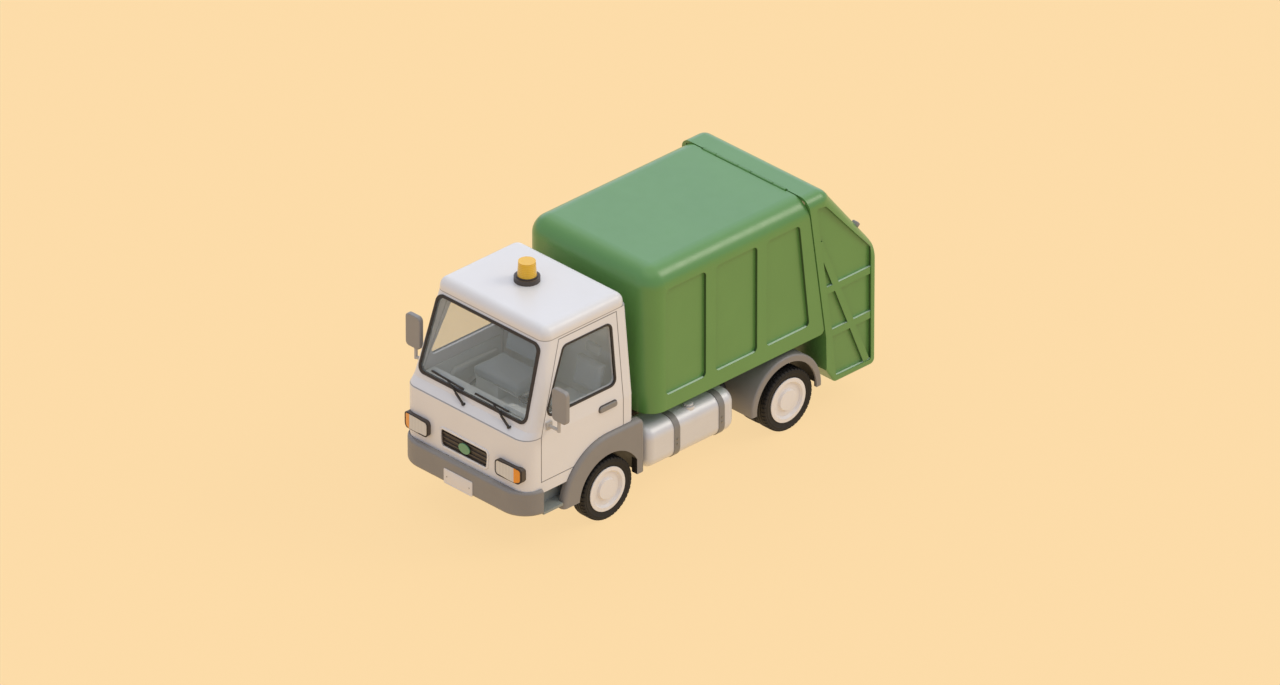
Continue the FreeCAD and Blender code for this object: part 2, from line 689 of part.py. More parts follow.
def screen_plate(name, inset, depth, out):
    """A flat plate in the plane of the windscreen, its edge moved in by inset."""
    low, high = size("screen_bottom"), size("screen_top")
    lean = math.degrees(screen_lean())
    rise = math.cos(math.radians(lean))
    length = (high - low) / rise
    bottom, top = size("screen_half_bottom"), size("screen_half_top")
    points = [(-bottom + inset, inset), (bottom - inset, inset),
              (top - inset, length - inset), (-top + inset, length - inset)]
    def upright(edge):
        return abs(edge.BoundBox.YLength - float(depth)) < 0.5 and edge.BoundBox.XLength < 1
    plate = prism(name, "y", Size.of(-out), Size.of(-out) + depth, points,
                  [(upright, size("screen_round") - inset * 0.6)])
    turned(plate, Vector(1, 0, 0), -lean)
    skin = (size("cab_sill") - low) * math.tan(math.radians(lean))
    return place(plate, 0, front_axle - size("cab_slope_front") - skin, low)


def on_screen(thing, across=0.0, depth=0.0, up=0.0):
    """Move a piece made in the upright glass plane onto the leaning windscreen."""
    lean = screen_lean()
    low = size("screen_bottom")
    skin = (size("cab_sill") - low) * math.tan(lean)
    foot = Vector(0, float(front_axle - size("cab_slope_front") - skin), float(low))
    seat = FreeCAD.Placement(foot, FreeCAD.Rotation(Vector(1, 0, 0), -math.degrees(lean)))
    thing.Placement = seat.multiply(FreeCAD.Placement(Vector(across, depth, up), thing.Placement.Rotation))
    return thing


def bar(name, start, end, width, inner, outer):
    """A flat bar in front of the glass, from one point of its plane to another."""
    run, rise = end[0] - start[0], end[1] - start[1]
    length = math.hypot(run, rise)
    u, v = -rise / length * width / 2, run / length * width / 2
    corners = [(start[0] - u, start[1] - v), (end[0] - u, end[1] - v), (end[0] + u, end[1] + v),
               (start[0] + u, start[1] + v)]
    return on_screen(prism(name, "y", Size(-outer), Size(-inner), [(Size(x), Size(z)) for x, z in corners]))


def screen_lean():
    return math.atan2(float(size("cab_slope_front") - size("cab_eaves_front")),
                      float(size("cab_eaves") - size("cab_sill")))


def fender_reach():
    """How far the front fender's arc stands from the axle; its top is level with the arc's."""
    return size("fender_top") - tyre_radius


def fender_form(name, extra, x):
    """The outline of the front fender: round ahead of the wheel, level behind it."""
    z = tyre_radius
    radius = fender_reach() + extra
    round_part = rod(name + "_round", "x", radius, x[0], x[1], (front_axle, z))
    ahead = block(name + "_ahead", x, (front_axle - radius, front_axle + 60), (z - 400, z + radius))
    square = block(name + "_square", x, (front_axle, front_axle + size("fender_back") + extra),
                   (z - 400, size("fender_top") + extra))
    return fuse(name, common(name + "_front", round_part, ahead), square)


def grille_outline(extra):
    """The grille's four corners, a little narrower at the foot, grown all round by some extra."""
    half, low, high = size("grille_half_width"), size("grille_bottom"), size("grille_top")
    foot = half - size("grille_taper")
    return [(-foot - extra, low - extra), (foot + extra, low - extra),
            (half + extra, high + extra), (-half - extra, high + extra)]


def grille_opening():
    """The opening for the grille: the room to cut from the nose, and the raised lip round it."""
    nose = front_axle - size("cab_front")
    rim, corner = size("grille_rim"), size("grille_round")
    mouth = prism("grille_room", "y", nose - 20, nose + 34, grille_outline(0), [(runs(1), corner)])
    lip = prism("grille_lip", "y", nose - 11, nose + 5, grille_outline(rim), [(runs(1), corner + rim)])
    soften(lip, [(flat_at(1, nose - 11), Size(9))])
    return mouth, lip


def cab():
    skin = cut("cab_skin", cab_solid("cab_outer", 0), cab_solid("cab_inner", float(size("cab_wall"))))
    low, high = size("cab_bottom"), size("cab_eaves")
    half = size("cab_half_width") + 60
    seam = size("panel_gap")
    front, top_front, back = (front_axle - size("door_front"), front_axle - size("door_top_front"),
                              front_axle + size("door_back"))
    wheel_room = fender_form("wheel_room", seam, (-half, half))

    # nose with the two front pillars: everything ahead of the door seam
    ahead = front_axle - size("cab_front") - 50
    sill_back, sill_top = front_axle - size("arch_radius"), size("door_bottom") - seam
    nose_zone = prism("nose_zone", "x", -half, half,
                      [(ahead, low - 5), (sill_back, low - 5), (sill_back, sill_top), (front, sill_top),
                       (front, size("cab_waist")), (top_front, size("door_top")),
                       (top_front, high + 5), (ahead, high + 5)])
    gasket_room = screen_plate("gasket_room", Size(0), Size(260), Size(130))
    mouth, rim_part = grille_opening()
    waist = size("cab_waist")
    line = common("waist_line", cut("waist_shell", cab_solid("waist_outer", -2),
                                    cab_solid("waist_inner", 4)),
                  block("waist_zone", (-half, half), (ahead, front + 5), (waist + 4, waist + 8)))
    nose = cut("nose", fuse("nose_rimmed", common("nose_skin", skin, nose_zone), rim_part),
               gasket_room, wheel_room, mouth, line)
    header = common("header_skin", skin, block("header_zone", (-half, half), (top_front, back + seam),
                                               (size("door_top") + seam, high + 5)))

    # two hinge leaves on each front pillar, up to the edge of the door
    side = size("cab_half_width")
    leaves = []
    for number, foot in enumerate((size("door_bottom") + 70, size("cab_waist") - 150)):
        leaf = block("hinge_leaf%d" % number, (side - 36, side - 14),
                     (front - 4, front + gap - size("fit")), (foot, foot + size("hinge_leaf")))
        leaves.append(pair("hinge_leaves%d" % number, leaf))
    node("cab_front", fuse("nose_all", nose, header, *leaves))

    # back wall with the two rear pillars
    rear_zone = block("rear_zone", (-half, half), (back + seam, front_axle + size("cab_back") + 50),
                      (low - 5, high + 5))
    node("cab_back", cut("cab_back_cut", common("back_skin", skin, rear_zone), wheel_room))

    # roof: a shallow rounded cap
    roof_low, roof_high = high, high + size("roof_height")
    top_half = size("cab_top_half_width")
    start, end = front_axle - size("cab_eaves_front"), front_axle + size("cab_back")
    cap = prism("roof_cap", "z", roof_low, roof_high,
                [(-top_half, start), (top_half, start), (top_half, end), (-top_half, end)],
                [(runs(2), size("cab_top_corner")), (flat_at(2, roof_high), size("roof_round"))])
    inner = top_half - size("cab_wall")
    hollow = prism("roof_hollow", "z", roof_low - 5, roof_high - size("roof_skin"),
                   [(-inner, start + 50), (inner, start + 50), (inner, end - 50), (-inner, end - 50)],
                   [(runs(2), Size(70)), (flat_at(2, roof_high - size("roof_skin")), Size(60))])
    node("cab_roof", cut("cab_roof_cut", cap, hollow))

    # floor with the engine cover
    wall = size("cab_wall")
    floor_low, floor_high = size("floor_bottom"), size("floor_bottom") + size("floor_thickness")
    side = size("cab_half_width") - wall - gap
    flat = block("floor_plate", (-side, side), (front_axle - size("cab_front"),
                                                front_axle + size("cab_back")), (floor_low, floor_high))
    cover = block("engine_cover", (Size(-340), Size(340)),
                  (front_axle - 600, front_axle + size("cab_back")), (floor_high, floor_high + 110))
    room = block("engine_room", (Size(-315), Size(315)),
                 (front_axle - 575, front_axle + size("cab_back") - wall - 25),
                 (floor_low - 5, floor_high + 85))
    fitted = common("floor_fitted", fuse("floor_all", flat, cover),
                    cab_solid("floor_edge", float(wall + size("fit"))))
    node("cab_floor", cut("floor_cut", fitted, room))
    return skin, wheel_room


def doors(skin, wheel_room):
    """Each door is the whole thickness of the cab's side, with its window cut through."""
    half = size("cab_half_width") + 60
    front, top_front, back = (front_axle - size("door_front") + gap,
                              front_axle - size("door_top_front") + gap, front_axle + size("door_back"))
    zone = prism("door_zone", "x", Size(400), half,
                 [(front, size("door_bottom")), (back, size("door_bottom")), (back, size("door_top")),
                  (top_front, size("door_top")), (front, size("cab_waist"))])
    low, high = size("window_bottom"), size("window_top")
    points = [(front_axle - size("window_front"), low), (front_axle + size("window_back"), low),
              (front_axle + size("window_back"), high), (front_axle - size("window_top_front"), high)]
    window = prism("window_cut", "x", Size(400), half, points, [(runs(0), size("window_round"))])
    left = cut("door_all", common("door_skin", skin, zone), window, wheel_room)
    node("door_left", left)
    node("door_right", mirrored("door_mirror", left))

    # glass: a slice of the side, half way through the door
    outer = cab_solid("glass_outer", float(size("cab_wall")) / 2 - 4)
    inner = cab_solid("glass_inner", float(size("cab_wall")) / 2 + 4)
    pane = common("pane", cut("glass_skin", outer, inner), window)
    node("door_glass_left", pane)
    node("door_glass_right", mirrored("pane_mirror", pane))


def mirrors_and_handles():
    z = size("mirror_middle")
    side = size("cab_half_width")
    inner, outer, tall = side + 67, side + 299, size("mirror_half_height")
    head = prism("mirror_head", "y", front_axle - 935, front_axle - 870,
                 [(inner, z - tall), (outer, z - tall), (outer, z + tall), (inner, z + tall)],
                 [(runs(1), Size(55)), (lambda edge: edge.BoundBox.YLength < 0.5, Size(14))])
    arm_low = rod("mirror_arm", "x", Size(20), side - 12, side + 157, (front_axle - 905, Size(1575)))
    stem = rod("mirror_stem", "z", Size(20), Size(1555), z - 150, (side + 157, front_axle - 905))
    foot = block("mirror_foot", (side - 11, side + 12), (front_axle - 945, front_axle - 865),
                 (Size(1530), Size(1620)))
    skin_room = cab_solid("mirror_seat", 0)
    left = cut("mirror_all", fuse("mirror_parts", head, arm_low, stem, foot), skin_room)
    node("mirror_left", left)
    node("mirror_right", mirrored("mirror_mirror", left))
    foot, top, face = size("handle_bottom"), size("handle_top"), side + 24
    grip = prism("handle_grip", "x", side, face,
                 [(front_axle - 127, foot), (front_axle + 137, foot), (front_axle + 137, top),
                  (front_axle - 127, top)], [(runs(0), Size(30)), (flat_at(0, face), Size(8))])
    seat = cab_solid("handle_seat", 0)
    handle = cut("handle_all", grip, seat)
    node("door_handle_left", handle)
    node("door_handle_right", mirrored("handle_mirror", handle))


def windscreen():
    ring = cut("gasket_ring", screen_plate("gasket_outer", size("fit"), size("gasket_depth"),
                                           size("gasket_proud")),
               screen_plate("gasket_inner", size("gasket_width"), Size(260), Size(130)))
    node("windscreen_gasket", ring)
    node("windscreen", screen_plate("windscreen_pane", size("gasket_width"), size("glass"), Size(2)))
    # wipers: pivot, arm's tip, blade's two ends, all in the plane of the glass: across, up
    pieces = []
    places = [((-75, -90), (-380, 80), (-648, 90), (-130, 66)), ((655, -84), (352, 82), (50, 86), (588, 74))]
    for number, (pivot, tip, blade_start, blade_end) in enumerate(places):
        shoulder = [pivot[i] * 0.52 + tip[i] * 0.48 for i in (0, 1)]
        pieces.append(bar("wiper_blade%d" % number, blade_start, blade_end, 20, 6, 26))
        pieces.append(bar("wiper_arm%d" % number, shoulder, tip, 15, 24, 36))
        pieces.append(bar("wiper_link%d" % number, pivot, shoulder, 22, 24, 42))
        boss = doc.addObject("Part::Cylinder", "wiper_boss%d" % number)
        boss.Radius = 17
        boss.Height = 70
        pieces.append(on_screen(turned(boss, Vector(1, 0, 0), 90), pivot[0], 24, pivot[1]))
    form = cab_solid("wiper_room", 0)
    node("wipers", together("wipers_all", cut("wiper_one", fuse("wiper_one_all", *pieces[:4]), form),
                            cut("wiper_two", fuse("wiper_two_all", *pieces[4:]), form)))


def cab_front_trim():
    nose = front_axle - size("cab_front")
    half, low, high = size("grille_half_width"), size("grille_bottom"), size("grille_top")
    corner, taper, fit = size("grille_round"), size("grille_taper"), size("fit")
    # grille: a tray let into the nose, with slats across its mouth
    tray = prism("grille_tray", "y", nose + 4, nose + 34, grille_outline(-fit), [(runs(1), corner - fit)])
    hollow = prism("grille_hollow", "y", nose - 5, nose + 26, grille_outline(-14), [(runs(1), corner - 14)])
    pitch = (high - low) / 4
    slats = [prism("slat%d" % number, "x", -half + taper + 8, half - taper - 8,
                   [(nose + 10, low + pitch * number - 8), (nose + 27, low + pitch * number - 2),
                    (nose + 27, low + pitch * number + 12), (nose + 10, low + pitch * number + 6)])
             for number in (1, 2, 3)]
    node("grille", fuse("grille_all", cut("grille_open", tray, hollow), *slats))
    # badge: a blank oval on a stub from the middle of the tray
    middle = (low + high) / 2 - 8
    oval = Part.Ellipse(Vector(0, 0, 0), float(size("badge_half_width")), float(size("badge_half_height")))
    badge = Part.Face(Part.Wire(oval.toShape())).extrude(Vector(0, 0, 14))
    badge = badge.makeFillet(5, [edge for edge in badge.Edges if edge.BoundBox.ZMin > 13])
    stub = Part.makeCylinder(16, 22, Vector(0, 0, -22))
    made = doc.addObject("Part::Feature", "badge_oval")
    made.Shape = badge.fuse(stub)
    turned(made, Vector(1, 0, 0), 90)
    node("grille_badge", cut("badge_seated", place(made, 0, nose + 4, middle),
                             fuse("badge_room", *slats)))
    # headlamps follow the nose's corners: a housing with the lens and the amber indicator let into it
    rim, proud = size("lamp_rim"), size("lamp_proud")

    def zone(name, inset, inner, outer, rounded=True):
        edge_low, edge_high = size("lamp_bottom") + inset, size("lamp_top") - inset
        rounds = [(runs(1), size("lamp_round") - inset)] if rounded else []
        return prism(name, "y", nose - proud - 30, nose + 240,
                     [(inner, edge_low), (outer, edge_low), (outer, edge_high), (inner, edge_high)], rounds)
    whole = zone("lamp_zone", Size(0), size("lamp_inner"), size("lamp_outer"))
    opening = zone("lamp_opening", rim, size("lamp_inner") + rim, size("lamp_outer") - rim)
    housing = common("lamp_form", cut("lamp_shell", cab_solid("lamp_outer_form", -float(proud)),
                                      cab_solid("lamp_seat", -float(fit))), whole)
    front = cab_solid("lens_form", -float(proud) - 8)
    pocket = common("lamp_pocket", cut("pocket_shell", front,
                                       cab_solid("lens_seat", -float(proud) + 20)), opening)
    node("headlamp_surrounds", pair("surround_pair", cut("surround_cut", housing, pocket)))
    split = size("lamp_split")
    inboard = zone("lens_zone", Size(-20), Size(400), split, rounded=False)
    outboard = zone("amber_zone", Size(-20), split, Size(1200), rounded=False)
    node("headlamps", pair("lens_pair", common("lens", pocket, inboard)))
    node("indicators", pair("amber_pair", common("amber", pocket, outboard)))


def beacon():
    roof = size("cab_eaves") + size("roof_height")
    x, y = Size(-95), front_axle - 192
    node("beacon_base", rod("beacon_foot", "z", Size(150), roof, roof + 58, (x, y)))
    dome = doc.addObject("Part::Cone", "beacon_lens")
    dome.Radius1 = 112
    dome.Radius2 = 100
    dome.Height = 190
    place(dome, x, y, roof + 58)
    node("beacon_dome", dome)


def cab_inside():
    floor = size("floor_bottom") + size("floor_thickness")
    inner = size("cab_half_width") - size("cab_wall") - 15
    start = front_axle - size("cab_front") + size("cab_wall") + 62
    dash = prism("dash_form", "x", -(inner - 40), inner - 40,
                 [(start, floor + 240), (start + 260, floor + 240), (start + 330, floor + 400),
                  (start + 290, floor + 500), (start + 60, floor + 520), (start, floor + 430)])
    node("dashboard", dash)
    seats = []
    # a seat for the driver and a bench for two mates: middle, width, width over the engine cover
    for number, (x, width, over) in enumerate(((580, 480, 0), (-350, 780, 350))):
        low, high = x - width / 2, x + width / 2
        lengthwise = (front_axle - 420, front_axle + 20)
        base = block("seat_base%d" % number, (Size(low + 30), Size(high - 30)), lengthwise,
                     (floor + 112, floor + 290))
        foot = block("seat_foot%d" % number, (Size(low + 30), Size(high - 30 - over)), lengthwise,
                     (floor, floor + 112))
        cushion = block("seat_cushion%d" % number, (Size(low), Size(high)),
                        (front_axle - 470, front_axle + 60), (floor + 290, floor + 430))
        rest = prism("seat_back%d" % number, "x", Size(low), Size(high),
                     [(front_axle + 10, floor + 420), (front_axle + 130, floor + 420),
                      (front_axle + 250, floor + 1010), (front_axle + 150, floor + 1010)])
        seats.append(fuse("seat%d" % number, base, foot, cushion, rest))
    node("seats", together("seats_all", *seats))
    top = Vector(560, float(front_axle) - 690, float(floor) + 520)
    foot = Vector(560, float(front_axle) - 960, float(floor))
    column = doc.addObject("Part::Feature", "column_tube")
    column.Shape = Part.makeCylinder(30, (top - foot).Length, foot, top - foot)
    trimmed = cut("column_trim", column, block("column_floor", (Size(300), Size(800)),
                                               (front_axle - 1200, front_axle), (floor - 80, floor)))
    wheel = doc.addObject("Part::Feature", "steering_ring")
    axis = (top - foot).normalize()
    ring = Part.makeTorus(205, 17, top + axis * 26, axis)
    hub = Part.makeCylinder(50, 32, top + axis * 0.3, axis)
    across = FreeCAD.Rotation(Vector(0, 0, 1), axis)
    spokes = []
    for angle in (90, 210, 330):
        spoke = Part.makeBox(200, 36, 14, Vector(0, -18, 12))
        spoke.rotate(Vector(0, 0, 0), Vector(0, 0, 1), angle)
        spoke.Placement = FreeCAD.Placement(top + axis * 6, across).multiply(spoke.Placement)
        spokes.append(spoke)
    wheel.Shape = ring.multiFuse([hub] + spokes).removeSplitter()
    node("steering_wheel", wheel)
    node("steering_column", trimmed)


# ---------------------------------------------------------------------------------------------
# Outside the cab: fenders, bumper, steps, tank, battery box, mudguards
# ---------------------------------------------------------------------------------------------
def fender_lip(x):
    """The fender seen from the side, its outer edges and its rear corner rounded."""
    z, low, top = float(tyre_radius), float(size("fender_bottom")), float(size("fender_top"))
    back = float(front_axle + size("fender_back"))
    axle, reach = float(front_axle), float(fender_reach())
    foot = axle - math.sqrt(reach ** 2 - (low - z) ** 2)
    shoulder = reach * math.sqrt(0.5)
    points = [Vector(float(x[0]), y, height) for y, height in (
        (foot, low), (axle - shoulder, z + shoulder), (axle, top), (back, top), (back, low))]
    outline = Part.Wire([Part.Arc(*points[:3]).toShape(), Part.LineSegment(points[2], points[3]).toShape(),
                         Part.LineSegment(points[3], points[4]).toShape(),
                         Part.LineSegment(points[4], points[0]).toShape()])
    form = Part.Face(outline).extrude(Vector(float(x[1] - x[0]), 0, 0))
    form = form.makeFillet(float(size("fender_corner")),
                           [edge for edge in form.Edges if edge.BoundBox.XLength > 1
                            and near(edge, 1, back) and near(edge, 2, top)])
    form = form.makeFillet(float(size("fender_edge")), [
        edge for edge in form.Edges if flat_at(0, x[1])(edge) and not near(edge, 2, low)])
    made = doc.addObject("Part::Feature", "fender_lip")
    made.Shape = form
    return made


def front_fenders():
    z = tyre_radius
    face, band = size("fender_face"), size("fender_band")
    low = size("fender_bottom")
    arch = size("arch_radius")
    lip = fender_lip((face - band, face))
    through = (face - band - 5, face + 5)
    hole = common("arch_hole", rod("arch_round", "x", arch, *through, (front_axle, z)),
                  block("arch_zone", through, (front_axle - 900, front_axle + size("arch_back")),
                        (Size(-200), size("fender_top"))))
    under = block("fender_under", (face - band - 5, face + 5), (front_axle - 900, front_axle + 900),
                  (Size(-200), low))
    band_part = cut("fender_band_part", lip, hole, under)
    tube = rod("liner_tube", "x", arch + size("liner_wall"), size("liner_inner"), face - band,
               (front_axle, z))
    bore = rod("liner_bore", "x", arch, size("liner_inner") - 5, face, (front_axle, z))
    below = block("liner_below", (size("liner_inner") - 5, face), (front_axle - 900, front_axle + 900),
                  (Size(-200), low))
    liner = cut("liner", tube, bore, below)
    top = z + arch + size("liner_wall")
    stay = block("fender_stay", (size("liner_inner") + 40, size("liner_inner") + 120),
                 (front_axle - 40, front_axle + 40), (top - 8, size("floor_bottom")))
    node("front_fenders", pair("fender_pair", fuse("fender_left", band_part, liner, stay)))


def bumper():
    half = size("bumper_half_width")
    front, back = front_axle - size("bumper_front"), front_axle - size("bumper_back")
    low, high, corner = size("bumper_bottom"), size("bumper_top"), size("bumper_corner")
    # the bumper ends part of the way round its corners, so its form runs on to end
    end = front + corner + 60

    def long_edge(edge):
        return (flat_at(2, high)(edge) or flat_at(2, low)(edge)) and not flat_at(1, end)(edge)
    outer = prism("bumper_block", "z", low, high,
                  [(-half, front), (half, front), (half, end), (-half, end)],
                  [(lambda edge: runs(2)(edge) and near(edge, 1, front), corner),
                   (long_edge, size("bumper_edge"))])
    inner_half, inner_front = size("cab_half_width") + 8, front_axle - size("cab_front") - 8
    inner = prism("bumper_inside", "z", low - 5, high + 5,
                  [(-inner_half, inner_front), (inner_half, inner_front), (inner_half, end + 5),
                   (-inner_half, end + 5)], [(lambda edge: runs(2)(edge) and near(edge, 1, inner_front),
                                              size("cab_corner") + 8)])
    behind = block("bumper_behind", (-half - 5, half + 5), (back, end + 5), (low - 5, high + 5))
    node("front_bumper", cut("bumper_cut", outer, inner, behind))
    plate = prism("plate_blank", "y", front_axle - size("front_overhang"), front,
                  [(Size(-250), Size(502)), (Size(210), Size(502)), (Size(210), Size(692)),
                   (Size(-250), Size(692))], [(runs(1), Size(16))])
    node("number_plate", plate)
    # step: a tray between the bumper's end and the fender, hung from the cab's floor
    inside, low, high = Size(840), Size(490), Size(520)
    fender = front_axle - fender_reach() - 3
    end = front_axle - size("arch_radius") - size("liner_wall") - 28
    tray = block("step_tray", (inside, size("cab_half_width") + 40), (back + 6, fender), (low, high))
    shelf = block("step_shelf", (inside, size("fender_face") - size("fender_band") - 3), (back + 6, end),
                  (low, high))
    wall = block("step_wall", (inside, inside + 22), (back + 6, end), (low, size("floor_bottom")))
    node("cab_steps", pair("step_pair", fuse("step_left", tray, shelf, wall)))


def tank():
    inner, outer, low, high = size("tank_inner"), size("tank_outer"), size("tank_bottom"), size("tank_top")
    start, end = front_axle + size("tank_front"), front_axle + size("tank_back")
    corner = size("tank_round")

    def section(name, extra, y):
        return prism(name, "y", y[0], y[1], [(inner - extra, low - extra), (outer + extra, low - extra),
                                             (outer + extra, high + extra),
                                             (inner - extra, high + extra)], [(runs(1), corner + extra)])
    shell = section("tank_shell", Size(0), (start, end))
    soften(shell, [(lambda edge: flat_at(1, start)(edge) or flat_at(1, end)(edge), size("tank_end_round"))])
    spot = (outer - 124, front_axle + 1350)
    neck = rod("tank_neck", "z", size("tank_cap"), high - 60, high + 30, spot)
    flange = rod("tank_flange", "z", size("tank_cap") + 22, high - 60, high + 8, spot)
    node("fuel_tank", fuse("tank_all", shell, neck, flange))
    straps = []
    for number, y in enumerate((front_axle + 1055, front_axle + 1755)):
        span = (y - size("strap_width") / 2, y + size("strap_width") / 2)
        band = cut("strap%d" % number, section("strap_out%d" % number, size("strap"), span),
                   section("strap_in%d" % number, size("fit"), (span[0] - 5, span[1] + 5)))
        arm = block("tank_arm%d" % number, (size("rail_outer"), inner - size("strap") + 4), span,
                    (size("rail_bottom") + 20, size("rail_bottom") + 130))
        straps.append(fuse("strap_all%d" % number, band, arm))
    node("tank_straps", together("straps_all", *straps))
    box = prism("battery_form", "x", Size(-960), Size(-560),
                [(front_axle + 640, Size(420)), (front_axle + 1240, Size(420)),
                 (front_axle + 1240, Size(900)), (front_axle + 640, Size(900))], [(runs(0), Size(40))])
    arm = block("battery_arm", (Size(-565), -size("rail_outer")), (front_axle + 720, front_axle + 1160),
                (size("rail_bottom") + 20, size("rail_bottom") + 130))
    node("battery_box", fuse("battery_all", box, arm))


def rear_guards():
    """A curved sheet over each twin wheel, closed at its outer side by a rolled rim."""
    face, radius, skin = size("guard_face"), size("guard_radius"), size("guard_skin")
    y, z = rear_axle - size("guard_ahead"), tyre_radius + size("guard_above")
    low = size("guard_bottom")
    inboard = wheel_face - tyre_width * 2 - size("twin_gap") - 25
    lip_start = face - size("guard_lip_depth")
    def outer_edge(edge):
        return edge.BoundBox.XLength < 1 and edge.BoundBox.ZLength > float(radius) and near(edge, 0, face)
    form = turned_ring("guard_form", y, z,
                       [(inboard, Size(0)), (inboard, radius), (face, radius), (face, Size(0))],
                       [(outer_edge, Size(24))])
    room = rod("guard_room", "x", radius - skin, inboard - 5, lip_start, (y, z))
    mouth = rod("guard_mouth", "x", radius - size("guard_lip"), lip_start - 5, face + 5, (y, z))
    under = block("guard_under", (inboard - 5, face + 5), (rear_axle - 900, rear_axle + 900),
                  (Size(-400), low))
    shell = cut("guard_shell", form, room, mouth, under)
    stays = []
    for number, side in enumerate((-1, 1)):
        stays.append(block("guard_stay%d" % number, (size("rail_outer"), inboard + 60),
                           (y + side * 300 - 25, y + side * 300 + 25), (z + 410, z + 470)))
    held = cut("guard_stays", fuse("stays", *stays), rod("guard_clear", "x", radius - skin, inboard,
                                                         face, (y, z)))
    node("rear_mudguards", pair("guard_pair", fuse("guard_left", shell, held)))


# ---------------------------------------------------------------------------------------------
# Refuse body, ejector plate and tailgate
# ---------------------------------------------------------------------------------------------
def seam_y(z, extra=0):
    """The sloping seam between the body and the tailgate, at a height."""
    return front_axle + size("seam_top") + size("seam_slope") * (size("box_top") - z) + extra


def refuse_body():
    half, low, high = size("box_half_width"), size("box_bottom"), size("box_top")
    start = front_axle + size("box_front")
    wall, edge_round = size("box_wall"), size("box_round")
    end_low = seam_y(low)

    def form(name, x, z, y, radius, push, foot_rounds=()):
        def curved(edge):
            front = runs(2)(edge) and near(edge, 1, y)
            top = flat_at(2, z[1])(edge) and not near(edge, 1, seam_y(z[1], push), 20)
            return front or top
        return prism(name, "x", -x, x, [(y, z[0]), (seam_y(z[0], push), z[0]),
                                        (seam_y(z[1], push), z[1]), (y, z[1])],
                     [(curved, radius), *foot_rounds])

    def foot(edge):
        return near(edge, 1, end_low) and near(edge, 2, low) and runs(0)(edge)
    skin = size("box_skin")
    outer = form("body_outer", half, (low, high), start, edge_round, Size(0),
                 [(foot, size("box_foot_round"))])
    inner = form("body_inner", half - wall, (low + skin, high - skin), start + skin, edge_round - 40,
                 Size(60))
    # side panels: pressed in between the ribs; front, rear at the top (the last follows the seam)
    panels = []
    base, top = size("panel_bottom"), size("panel_top")
    for number, (front, back) in enumerate(((889, 1515), (1670, 2320), (2467, None))):
        near_y = front_axle + front
        if back is None:
            far_low, far_high = seam_y(base, -210), seam_y(top, -165)
        else:
            far_low = far_high = front_axle + back
        panels.append(prism("panel%d" % number, "x", half - size("panel_recess"), half + 20,
                            [(near_y, base), (far_low, base), (far_high, top), (near_y, top)],
                            [(runs(0), size("panel_corner"))]))
    left = fuse("panels_left", *panels)
    middle = size("rail_outer") - size("rail_flange") / 2
    runner = block("runner", (middle - 32, middle + 32), (start + 60, rear_axle + 330),
                   (size("rail_top"), low + 10))
    runners = [runner, mirrored("runner_right", runner)]
    shell = cut("body_shell", outer, inner, left, mirrored("panels_right", left))
    knuckles = hinge_row("body_hinge", (-560, 0, 560), 200, -1)
    room = hinge_room("body_hinge_room")
    y, z = hinge_centre()
    pin = rod("hinge_pin", "x", size("hinge_pin"), Size(-660), Size(660), (y, z))
    node("refuse_body", fuse("body_all", cut("body_grooved", shell, room), *runners, *knuckles, pin))

    # ejector plate: fills the body's section and slides to the rear on its floor
    width = half - wall - 20
    plate_y = start + skin + edge_round - 40 + 55
    plate = prism("ejector_face", "y", plate_y, plate_y + 40,
                  [(-width, low + 34), (width, low + 34), (width, high - 50), (-width, high - 50)],
                  [(lambda edge: runs(1)(edge) and near(edge, 2, high - 50), edge_round - 40)])
    ribs = [block("ejector_rib%d" % number, (-(width - 60), width - 60), (plate_y - 50, plate_y),
                  (low + height, low + height + 80)) for number, height in enumerate((120, 640, 1160))]
    shoes = [block("ejector_shoe%d" % number, (Size(x - 60), Size(x + 60)), (plate_y - 50, plate_y + 40),
                   (low + 30.3, low + 60)) for number, x in enumerate((-700, 700))]
    node("ejector_plate", fuse("ejector_all", plate, *ribs, *shoes))


def hinge_centre():
    return seam_y(size("box_top"), gap / 2), size("box_top")


def hinge_row(name, places, width, side):
    """Round knuckles along the roof seam, each on a tab from its own panel: side -1 body, 1 tailgate."""
    y, z = hinge_centre()
    reach = size("hinge_radius") + 14
    made = []
    for number, x in enumerate(places):
        span = (Size(x - width / 2), Size(x + width / 2))
        made.append(rod("%s%d" % (name, number), "x", size("hinge_radius"), span[0], span[1], (y, z)))
        tab = (y - reach, y) if side < 0 else (y, y + reach)
        made.append(block("%s_tab%d" % (name, number), span, tab, (z - size("hinge_radius"), z - 1)))
    return made


def hinge_room(name):
    y, z = hinge_centre()
    return rod(name, "x", size("hinge_radius") + 5, Size(-680), Size(680), (y, z))


